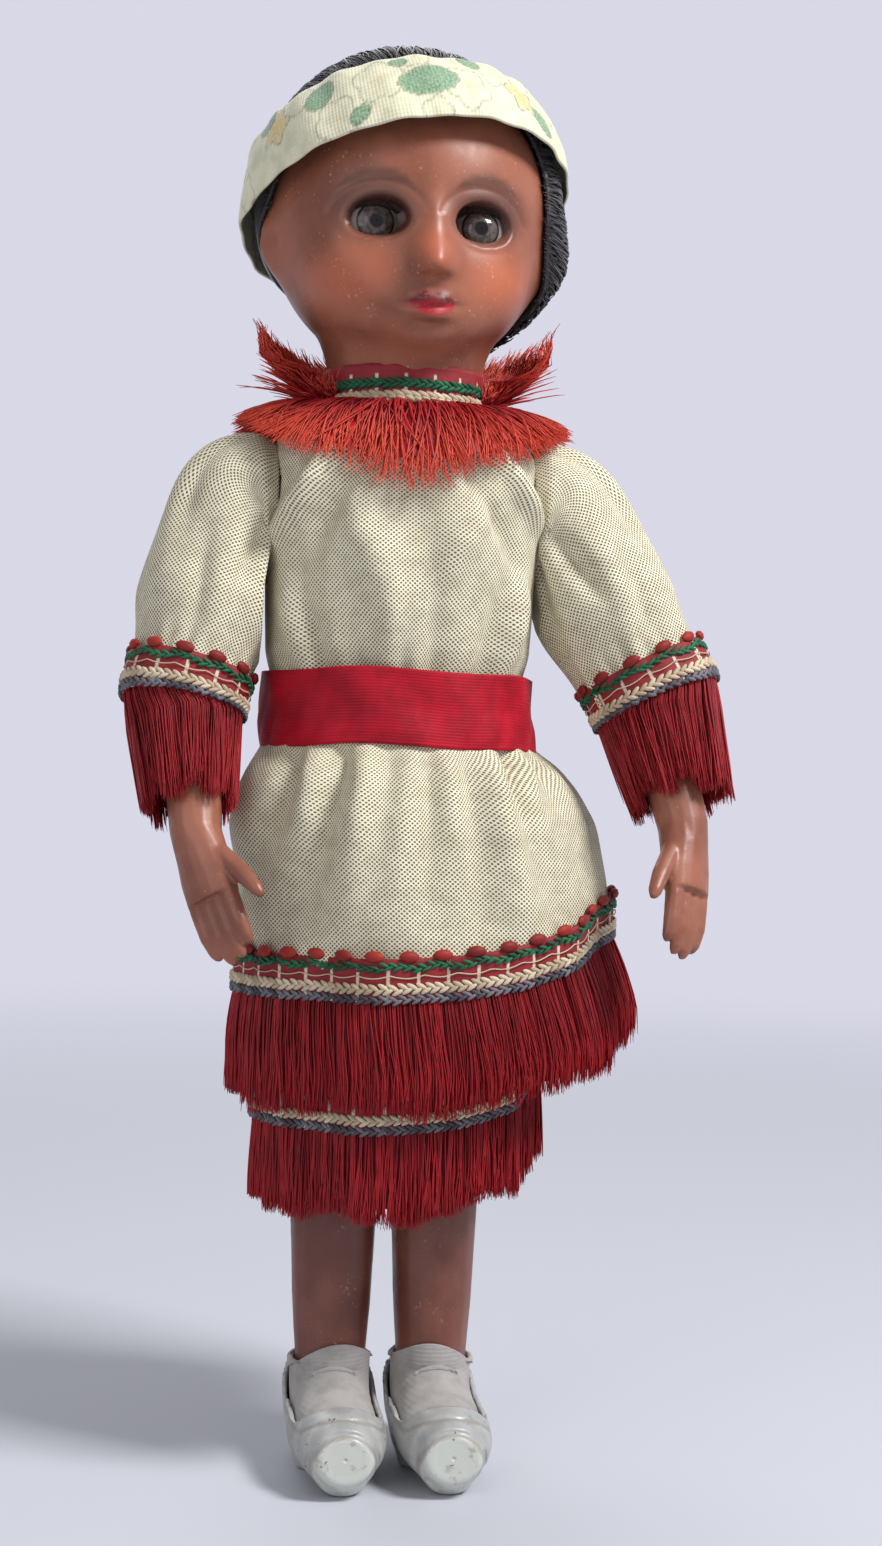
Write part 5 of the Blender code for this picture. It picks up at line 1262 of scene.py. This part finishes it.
yarns = {
    "picot": build_yarn_finish("rust_red_yarn", (0.30, 0.020, 0.012, 1), (0.18, 0.010, 0.008, 1)),
    "green": build_yarn_finish("green_yarn", (0.012, 0.13, 0.055, 1), (0.006, 0.06, 0.026, 1)),
    "cream": build_yarn_finish("cream_yarn", (0.60, 0.50, 0.36, 1), (0.42, 0.33, 0.22, 1)),
    "grey": build_yarn_finish("grey_yarn", (0.15, 0.15, 0.17, 1), (0.045, 0.045, 0.055, 1)),
}
fringe_finish = build_yarn_finish(
    "dark_red_fringe", (0.37, 0.010, 0.016, 1), (0.18, 0.004, 0.008, 1), (0.33, 0.010, 0.015, 1), 0.5
)
bright_fringe_finish = build_yarn_finish(
    "orange_red_fringe", (0.46, 0.012, 0.016, 1), (0.24, 0.005, 0.010, 1), (0.68, 0.075, 0.04, 1), 0.5
)
braid_finish = build_braid_finish()


def make_beads(name, place, turns, drop, size, slant, finish, body, wander=0.0):
    """Yarn lumps in a row along a trim. size holds their half length, half height and half depth."""
    rings, sides, step, out = 6, 8, 1e-3, 0.0003
    polar, around = np.meshgrid(
        np.linspace(0.12, math.pi - 0.12, rings), np.arange(sides) * 2 * math.pi / sides, indexing="ij"
    )
    unit = np.stack([np.cos(polar), np.sin(polar) * np.cos(around), np.sin(polar) * np.sin(around)], -1)
    dice = np.random.default_rng(len(turns))
    level = np.full(len(turns), drop) + wander * np.sin(np.arange(len(turns)) * 1.3)
    level = level + dice.normal(0, 0.00006, len(turns))
    centre = place(turns, level, np.full(len(turns), out))
    along = place(turns + step, level, out + 0 * turns) - place(turns - step, level, out + 0 * turns)
    down = place(turns, level + 0.0004, out + 0 * turns) - place(turns, level - 0.0004, out + 0 * turns)
    along /= np.linalg.norm(along, axis=-1, keepdims=True)
    down -= along * (down * along).sum(-1, keepdims=True)
    down /= np.linalg.norm(down, axis=-1, keepdims=True)
    lift = np.cross(along, down)
    c, s = math.cos(slant), math.sin(slant)
    long, wide = along * c + down * s, down * c - along * s
    points = (
        centre[:, None, None]
        + long[:, None, None] * unit[..., :1] * size[0]
        + wide[:, None, None] * unit[..., 1:2] * size[1]
        + lift[:, None, None] * unit[..., 2:] * size[2]
    )
    one = grid_faces(rings, sides, True)
    faces = (one[None] + (np.arange(len(turns)) * rings * sides)[:, None, None]).reshape(-1, 4)
    which = np.broadcast_to(dice.random(len(turns))[:, None, None], (len(turns), rings, sides))
    make_piece(name, points, faces, finish, body, marks={"which": which})


def build_fringe(name, place, round_length, length, flare, body, node, finish, clump=0.0016, spread=0.0006):
    """Fine loose threads under a trim, drawn into clumps with ragged ends, over a backing of more.

    clump is how wide a clump is at its tip, and spread how far threads stray from it.
    """
    dice = np.random.default_rng(int(round_length * 1e6) + len(name))
    count, steps = int(round_length / fringe_pitch) * fringe_layers, 9
    root = dice.random(count)
    clumps = round_length / clump
    aim = (np.floor(root * clumps) + 0.5 + dice.normal(0, 0.2, count)) / clumps
    s = np.linspace(0, 1, steps)[None]
    layer = dice.integers(0, fringe_layers, count)[:, None]
    sway = dice.normal(0, spread, (count, 1)) * s**1.5
    sway = sway + 0.00022 * np.sin(s * 6 + dice.uniform(0, 6, (count, 1))) * s
    turn = root[:, None] + (aim - root)[:, None] * 0.45 * s**1.4 + sway / round_length
    lump = np.sin(np.floor(root * clumps) * 12.9898) * 43758.5453
    ragged = 0.97 + 0.05 * np.sin(root * 41) + 0.09 * (lump - np.floor(lump) - 0.5)
    ragged = ragged - 0.12 * dice.random(count) ** 3
    top = heading_height - fringe_tuck
    drop = top + (length + fringe_tuck) * ragged[:, None] * s
    bulk = 0.0004 * np.sin(aim * round_length / 0.0052 * 2 * math.pi)[:, None] * s
    full = flare * np.sin(np.minimum(s, 0.85) / 0.85 * math.pi / 2)
    out = -0.0002 - 0.0003 * layer + full + bulk + dice.normal(0, 0.0001, (count, 1)) * s
    radii = thread_radius * np.concatenate([np.ones(steps - 2), [0.8, 0.3]])
    make_threads(name, place(turn, drop, out), radii, finish, body, stands_for=(node,), slot="red_fringe")
    turn, share = np.meshgrid(np.linspace(0, 1, int(round_length / 0.0004)), np.linspace(0, 1, 8))
    drop = top + (length * 0.86) * share
    out = -0.0010 + flare * np.sin(share * 0.95 * math.pi / 2)
    out = out + 0.0003 * np.sin(turn * round_length * backing_ripples) * share
    streaks = dice.random(turn.shape[1])[None] + 0 * turn
    make_piece(
        f"{name}_backing", place(turn, drop, out), grid_faces(*turn.shape), finish, body, "red_fringe",
        marks={"which": streaks, "along": 0.3 * share},
    )


def build_trim(name, place, round_length, length, flare, body, node, kind="full", **fringe):
    """Braid and fringe along place(turn, drop, out), which runs round the trim from its top edge.

    A full trim has picots, a green chain and a cream line above the two chains that every skirt trim
    has. The collar's has a green and a cream chain only.
    """
    turn, share = np.meshgrid(np.linspace(0, 1, int(round_length / 0.0006)), np.linspace(0, 1, 12))
    ripple = 0.00012 * np.sin(turn * round_length / braid_repeat * 2 * math.pi)
    rows = place(turn, heading_height * share, -0.0001 + ripple)
    made = make_piece(
        f"{name}_braid", rows, grid_faces(*turn.shape), braid_finish, body, marks=cloth_marks(rows)
    )
    thickness = made.modifiers.new("braid_thickness", "SOLIDIFY")
    thickness.thickness, thickness.offset = braid_thickness, 0

    def spaced(pitch):
        return (np.arange(int(round_length / pitch)) + 0.5) / int(round_length / pitch)

    def chain(colour, drop, slant, pitch=0.00112, size=(0.00088, 0.00034, 0.00034), wander=0.0):
        """Two rows of slanted stitches that meet like a plait."""
        for row, way in ((-1, slant), (1, -slant)):
            turns = spaced(pitch) + row * pitch / 4 / round_length
            make_beads(
                f"{name}_{colour}_chain_{(row + 3) // 2}", place, turns, drop + row * size[1] * 0.85,
                size, way, yarns[colour], body, wander,
            )

    if kind == "collar":
        chain("green", 0.0027, 0.45)
        chain("cream", 0.0046, 0.45, size=(0.0010, 0.00042, 0.0004))
    else:
        if kind == "full":
            make_beads(
                f"{name}_picots", place, spaced(braid_repeat), -0.0003, (0.00135, 0.0008, 0.0006), 0.1,
                yarns["picot"], body,
            )
            chain("green", 0.0011, 0.4, size=(0.0008, 0.00026, 0.0003), wander=0.00024)
            line = np.linspace(0, 1, int(round_length / 0.0005))[None]
            loose = 0.0022 + 0.0004 * np.abs(np.sin(line * round_length / braid_repeat * math.pi))
            laid = place(line, loose, 0.0004 + 0 * line)
            make_threads(f"{name}_cream_line", laid, 0.00009, yarns["cream"], body, 5)
        chain("cream", 0.0040, 0.5)
        chain("grey", 0.0054, 0.5, size=(0.0008, 0.00028, 0.0003))
    fringe.setdefault("finish", fringe_finish)
    build_fringe(f"{name}_fringe", place, round_length, length, flare, body, node, **fringe)


def skirt_place(top, half_width, half_depth, lean, drift, lift):
    """Places round the skirt for a trim whose top edge is at a height, higher on the doll's left."""
    def place(turn, drop, out):
        a = 2 * math.pi * turn + math.pi / 2
        waves = trim_waves * (0.6 * np.cos(7 * a + 0.6) + 0.4 * np.cos(11 * a + 2.1))
        aside = lean + drift * np.clip((drop - heading_height) / 0.01, 0, 1)
        x = (half_width + waves + out) * np.cos(a) + aside
        y = (half_depth + waves + out) * np.sin(a)
        return np.stack([x, y, top - drop + lift * (0.5 + 0.5 * np.cos(a)) ** 4], -1)
    return place


upper_trim_drop = 0.0335
upper_trim_stand = 0.0008
upper_trim_round = 0.152
upper_fringe_length = 0.0156
lower_trim_rise = 0.0020
lower_trim_stand = 0.0018
lower_trim_round = 0.132
lower_fringe_length = 0.0125
build_trim(
    "upper_skirt",
    skirt_place(
        waist_z - upper_trim_drop, skirt_half_width + upper_trim_stand, skirt_half_depth + upper_trim_stand,
        skirt_lean, 0.0014, 0.0085,
    ),
    upper_trim_round, upper_fringe_length, 0.0022, "body", "upper_skirt_trim",
)
build_trim(
    "lower_skirt",
    skirt_place(
        waist_z - skirt_length + lower_trim_rise, underskirt_half_width + lower_trim_stand,
        underskirt_half_depth + lower_trim_stand, underskirt_lean, 0.0, 0.0055,
    ),
    lower_trim_round, lower_fringe_length, 0.0002, "body", "lower_skirt_trim", kind="lower",
)


def cuff_place(side):
    """Places round a sleeve's edge. The fringe follows the forearm, and hangs where it is free."""
    sign, _, wide, _ = ARM_SIDES[side]
    start, upper, fore = arm_lines(side)
    edge = start + upper * sleeve_length

    def place(turn, drop, out):
        turn, drop, out = np.broadcast_arrays(turn, drop, out)
        below = np.maximum(drop - heading_height * 0.85, 0)[..., None]
        above = np.minimum(drop - heading_height * 0.85, 0)[..., None]
        centre = edge + upper * above + fore * below
        mix = np.clip(below / 0.004, 0, 1)
        way = upper * (1 - mix) + fore * mix
        way /= np.linalg.norm(way, axis=-1, keepdims=True)
        drawn = 0.0022 * np.clip(below / 0.0165, 0, 1)
        sized = out[..., None] + 0.0008 - drawn
        places = arm_circle(centre, way, wide + sized, cuff_half_depth + sized, turn + 0.5)
        places = clear_of_body(places, side, np.clip(out + 0.0006, 0, 0.0012))
        return places * np.array([sign, 1, 1])
    return place


for side in ARM_SIDES:
    build_trim(
        f"{side}_cuff", cuff_place(side), cuff_round, cuff_fringe_length, 0.0, f"{side}_arm",
        f"{side}_sleeve_trim",
    )


collar_height = 0.0052
collar_ease = 0.0010
collar_round = 0.072
collar_fringe_length = 0.0132
collar_spread_length = 0.0135
collar_half_width = 0.0242
collar_half_depth = 0.0184
collar_fall_front = 0.0112
collar_fall_side = 0.0022
raised_count = 3800
raised_high_count = 2600
raised_length = 0.0128


def collar_place(turn, drop, out):
    """The braid stands round the neck. Below it the fringe spreads over the shoulders."""
    turn, drop, out = np.broadcast_arrays(turn, drop, out)
    a = 2 * math.pi * turn + math.pi / 2
    spread = np.maximum(drop - collar_height, 0) / collar_spread_length
    side = np.cos(a) ** 2
    inner = neck_radius + collar_ease + out
    x = (inner + (collar_half_width - inner) * spread) * np.cos(a)
    y = (inner + (collar_half_depth - inner) * spread) * np.sin(a)
    fall = (collar_fall_front * (1 - side) + collar_fall_side * side) * spread**1.5
    z = neck_z + collar_height - np.minimum(drop, collar_height) - fall
    z = z + 0.0010 * np.sin(np.clip(spread, 0, 1) * math.pi)
    return np.stack([x, y, z + (out + 0.0007) * 0.8 * (spread > 0)], -1)


build_trim(
    "collar", collar_place, collar_round, collar_fringe_length, 0.0, "body", "collar_trim", "collar",
    finish=bright_fringe_finish, clump=0.0026, spread=0.0016,
)


def head_sweep(bearing, height):
    """How far from the neck's middle the turning head reaches, by bearing from its front and height."""
    turned, step = np.arange(-84, 85, 4), 0.001
    heights = np.arange(0.150, 0.1655, step)
    lon, lat = np.meshgrid(np.arange(-180, 180, 4.0), np.arange(-75, 1, 1.0), indexing="ij")
    places = head_places(lon, lat, 0.0, (HEAD_BUMP_SHARES, FACE_BUMP_SHARES))
    reach = np.hypot(places[..., 0], places[..., 1])
    still = np.array([np.interp(heights, z, far) for z, far in zip(places[..., 2], reach)])
    still += 0.0030 * ((np.abs(lon[:, :1]) > 75) & (heights > 0.1575))
    swept = np.max([np.roll(still, k, axis=0) for k in turned // 4], axis=0)
    row = np.round((bearing + 180) / 4).astype(int) % len(swept)
    at = np.clip((height - heights[0]) / step, 0, len(heights) - 1.001)
    low = at.astype(int)
    return swept[row, low] * (1 - at + low) + swept[row, low + 1] * (at - low)


def build_raised_fringe():
    """Strands of the collar's fringe that stand up by the jaw, where the turning head clears them."""
    dice = np.random.default_rng(71)
    count = raised_count
    low = np.arange(count) >= raised_high_count
    aside = np.clip(dice.normal(-0.5, 0.34, count), -1.25, 0.2) + low * dice.normal(0.1, 0.3, count)
    aside = np.clip(aside, -1.4, 0.5)[:, None]
    side = np.where(np.arange(count) % 2, 1, -1)[:, None]
    steep = np.radians(np.clip(dice.normal(64, 15, count) + 8 * low, 25, 86))[:, None]
    long = raised_length * dice.uniform(0.4, 1.05, (count, 1)) * (1 - 0.2 * np.abs(aside))
    long = long * (1 - 0.63 * low[:, None])
    s = np.linspace(0, 1, 9)[None]
    rise = neck_z + 0.0006 + long * (np.sin(steep) * s - 0.22 * np.cos(steep) * s**2)
    reach = neck_radius + 0.0016 + long * np.cos(steep) * s
    fan = aside + dice.normal(0, 0.10, (count, 1)) * s
    fan = fan + 0.03 * np.sin(s * 7 + dice.uniform(0, 6, (count, 1)))
    clear = np.maximum(
        head_sweep(90 - np.degrees(fan), rise + 0.0030), head_sweep(90 - np.degrees(fan), rise + 0.0008)
    )
    reach = np.maximum(reach, clear + 0.0005 + dice.uniform(0, 0.0010, (count, 1)) * s)
    paths = np.stack([side * reach * np.cos(fan), -reach * np.sin(fan), rise], -1)
    make_threads(
        "collar_fringe_raised", paths, thread_radius * np.array([1, 1, 1, 1, 1, 1, 1, 0.8, 0.3]),
        bright_fringe_finish, "body", slot="red_fringe",
    )


build_raised_fringe()


# Socks and shoes: thin white knit socks cut short over the ankles, and slip-on shoes of soft white
# vinyl with a round toe cap, scuffed and specked.
def build_sock_finish():
    """Thin greyed knit in level rows."""
    made, tree, shader = start_finish("white_knit", Roughness=0.85, Sheen_Weight=0.2)
    place = put(tree, "TexCoord").outputs["Object"]
    knit = put(tree, "TexWave", {"Vector": place, "Scale": 520.0, "Distortion": 1.0}, bands_direction="Z")
    cloud = speckled(tree, place, 320, 3)
    colour = blended(tree, ranged(tree, cloud, 0.35, 0.75), (0.40, 0.375, 0.36, 1), (0.30, 0.28, 0.265, 1))
    connect(tree, shader, colour, None, knit.outputs[1], 0.00004, 0.5)
    return made


def build_vinyl_finish():
    """White vinyl with a lighter toe cap, brown stains, scuffs, and a darker brown along its seam and the
    cap's edge.
    """
    made, tree, shader = start_finish("white_vinyl")
    place = put(tree, "TexCoord").outputs["Object"]
    cloud = speckled(tree, place, 210, 4)
    specks = ranged(tree, speckled(tree, place, 1500, 1), 0.72, 0.78)
    stain = ranged(tree, speckled(tree, place, 330, 3), 0.58, 0.78)
    base = blended(tree, ranged(tree, cloud, 0.35, 0.7), (0.44, 0.44, 0.425, 1), (0.33, 0.33, 0.32, 1))
    soiled = blended(tree, sums(tree, "MULTIPLY", stain, 0.35), base, (0.42, 0.31, 0.17, 1))
    capped = blended(tree, sums(tree, "MULTIPLY", mark(tree, "cap"), 0.8), soiled, (0.60, 0.62, 0.565, 1))
    patch = ranged(tree, speckled(tree, place, 620, 5, 0.65), 0.56, 0.68)
    scuffed = sums(tree, "MULTIPLY", sums(tree, "MULTIPLY", patch, mark(tree, "cap")), 0.55)
    soiled = blended(tree, scuffed, capped, (0.30, 0.27, 0.20, 1))
    edges = sums(tree, "MAXIMUM", mark(tree, "cap_edge"), mark(tree, "seam"))
    rimmed = blended(tree, sums(tree, "MULTIPLY", edges, 0.45), soiled, (0.2, 0.16, 0.11, 1))
    colour = blended(tree, sums(tree, "MULTIPLY", specks, 0.8), rimmed, (0.06, 0.05, 0.045, 1))
    connect(tree, shader, colour, ranged(tree, cloud, 0.3, 0.7, 0.28, 0.45), cloud, 0.0001, 0.3)
    return made


sock_finish = build_sock_finish()
vinyl_finish = build_vinyl_finish()
leg_spread = 0.0072
ankle_height = 0.0125
toe_middle = (0.0046, 0.0043)
sock_thickness = 0.0004
vinyl_thickness = 0.0006

# Share of the way from ankle to toe, then shares of half width, height and lift off the sole
FOOT_SHARES = (
    (0.22, 1.0, 0.94, 0.0), (0.5, 0.99, 0.88, 0.0), (0.74, 0.9, 1.0, 0.0),
    (0.9, 0.76, 1.0, 0.0), (0.97, 0.6, 0.86, 0.07), (1.0, 0.42, 0.56, 0.2),
)


def foot_rows(grow, top, points):
    """Rings from the ankle round the heel and along the left foot to its toe, smoothed between."""
    a = np.arange(points) * 2 * math.pi / points
    c, s = np.cos(a), np.sin(a)
    sole, deep, wide = 0.0026, 0.0067, 0.0064

    def level(z):
        share = (z - ankle_height - grow) / 0.0735
        w = wide * np.interp(share, (0, 0.12, 0.3), (0.775, 0.88, 0.97)) + grow
        d = deep * np.interp(share, (0, 0.12, 0.3), (0.9, 0.94, 1.0)) + grow
        return np.stack([leg_spread + w * c, d * s, z + 0 * a], -1)

    ankle = ankle_height + grow
    rows = [level(top + 0 * a + k * (ankle - top)) for k in (0, 0.34, 0.67, 1)]
    front = -deep * 0.9 - grow
    for turned, reached in ((0.28, 1.0), (0.52, 1.02), (0.76, 0.86), (1.0, 0.9)):
        way = np.array([0, math.cos(turned * math.pi / 2), -math.sin(turned * math.pi / 2)])
        half = (0.0141 * reached + 2 * grow) / 2
        centre = np.array([leg_spread, front, ankle]) + way * half
        width = wide * 0.775 + grow + (0.0049 - wide * 0.775) * turned
        rows.append(centre + c[:, None] * np.array([width, 0, 0]) + s[:, None] * way * half)
    instep = ankle_height - sole
    for along, wider, taller, lift in FOOT_SHARES:
        height = instep + (0.0066 - instep) * min(1.0, along * 1.25)
        middle = sole + height * (taller / 2 + lift)
        half = height * taller / 2 + grow
        rows.append(np.stack(
            [leg_spread + (0.0049 * wider + grow) * c, front - 0.0144 * along + 0 * a, middle - half * s], -1
        ))
    rows[-1][:, 1] -= grow
    rows = np.array(rows)
    tip = rows[-1].mean(0)
    rows = np.concatenate([rows, tip + (rows[-1:] - tip) * 0.55 - np.array([0, 0.0002, 0])])
    at = np.linspace(0, len(rows) - 1, (len(rows) - 1) * 7 + 1)
    low = np.minimum(at.astype(int), len(rows) - 2)
    f = (at - low)[:, None, None]
    p0, p1, p2, p3 = (rows[np.clip(low + k, 0, len(rows) - 1)] for k in (-1, 0, 1, 2))
    square, cube = 2 * p0 - 5 * p1 + 4 * p2 - p3, 3 * p1 - p0 - 3 * p2 + p3
    fine = 0.5 * (2 * p1 + (p2 - p0) * f + square * f**2 + cube * f**3)
    fine[..., 2] = np.maximum(fine[..., 2], sole - grow)
    return fine


def build_sock(side, sign):
    """A knit foot with a slanted top, over the ankle and under the shoe."""
    points = 72
    a = np.arange(points) * 2 * math.pi / points
    top = 0.0149 - 0.0020 * np.cos(a) ** 2 - 0.0008 * np.cos(a) - 0.0016 * np.sin(a)
    rows = foot_rows(0.0007, top, points)
    rows[..., 0] *= sign
    faces = grid_faces(len(rows), points, True)
    made = make_piece(
        f"{side}_sock_knit", rows, faces if sign < 0 else faces[:, ::-1], sock_finish, f"{side}_leg", None,
        (f"{side}_sock",),
    )
    thickness = made.modifiers.new("sock_thickness", "SOLIDIFY")
    thickness.thickness, thickness.offset = sock_thickness, -1


def throat(places):
    """Above 0 where the shoe is cut open: over its side line and behind the U of its front edge."""
    x, y, z = places[..., 0] - leg_spread, places[..., 1], places[..., 2]
    edge = -0.0186 + 0.0030 * (x / 0.0062) ** 2
    line = 0.0080 + 0.0042 * soft_edge(-y, -0.007, 0.002)
    over, behind = (z - line) / 0.0008, (y - edge) / 0.0008
    return -0.0008 * np.log(np.exp(-np.clip(over, -30, 30)) + np.exp(-np.clip(behind, -30, 30)))


def build_shoe(side, sign):
    """A moulded slipper: its throat is cut in a wide U with a seam under it, and its toe wears a cap."""
    points = 108
    rows = foot_rows(0.0017, np.full(points, 0.0155), points)
    tip = rows[-1].mean(0)
    rows = np.concatenate([rows] + [(tip + (rows[-1] - tip) * k)[None] for k in (0.75, 0.5, 0.25, 0.02)])
    x, y, z = rows[..., 0] - leg_spread, rows[..., 1], rows[..., 2]
    rows[..., 2] = z * (1 - soft_edge(z, 0.0006, 0.0022))
    cap = np.hypot(x / toe_middle[0], (rows[..., 2] - toe_middle[1]) / toe_middle[0])
    facing = soft_edge(y, -0.0165, -0.0140)
    capped = soft_edge(cap, 0.90, 1.0) * facing
    rows[..., 1] -= 0.0005 * capped - 0.0003 * soft_edge(np.abs(cap - 1.04), 0.02, 0.08) * facing
    seam = soft_edge(np.abs(throat(rows + np.array([0, 0.0034, 0.0004]))), 0.00012, 0.0004) * (y < -0.002)
    outward = rows - np.array([leg_spread, -0.008, 0.005])
    rows -= outward / np.linalg.norm(outward, axis=-1, keepdims=True) * 0.00018 * seam[..., None]
    faces = grid_faces(len(rows), points, True)
    places = rows.reshape(-1, 3)
    cut = throat(places)
    kept = faces[(cut[faces] <= 0).any(1)]
    rim = np.zeros(len(places), bool)
    rim[kept.ravel()] = True
    rim &= cut > 0
    for _ in range(3):
        edge = places[rim]
        value = throat(edge)
        slope = np.stack([(throat(edge + step) - value) / 1e-5 for step in np.eye(3) * 1e-5], -1)
        places[rim] = edge - slope * (value / (slope**2).sum(-1))[:, None]
    used, back = np.unique(kept, return_inverse=True)
    kept = back.reshape(-1, 4).astype(np.int32)
    marks = {
        "cap": capped.ravel()[used], "seam": seam.ravel()[used],
        "cap_edge": (soft_edge(np.abs(cap - 0.95), 0.02, 0.07) * facing).ravel()[used],
    }
    made = make_piece(
        f"{side}_shoe_vinyl", places[used] * np.array([sign, 1, 1]), kept if sign < 0 else kept[:, ::-1],
        vinyl_finish, f"{side}_leg", "white_vinyl", (f"{side}_shoe",), marks,
    )
    thickness = made.modifiers.new("vinyl_thickness", "SOLIDIFY")
    thickness.thickness, thickness.offset = vinyl_thickness, -1


for side, sign in (("left", 1), ("right", -1)):
    build_sock(side, sign)
    build_shoe(side, sign)
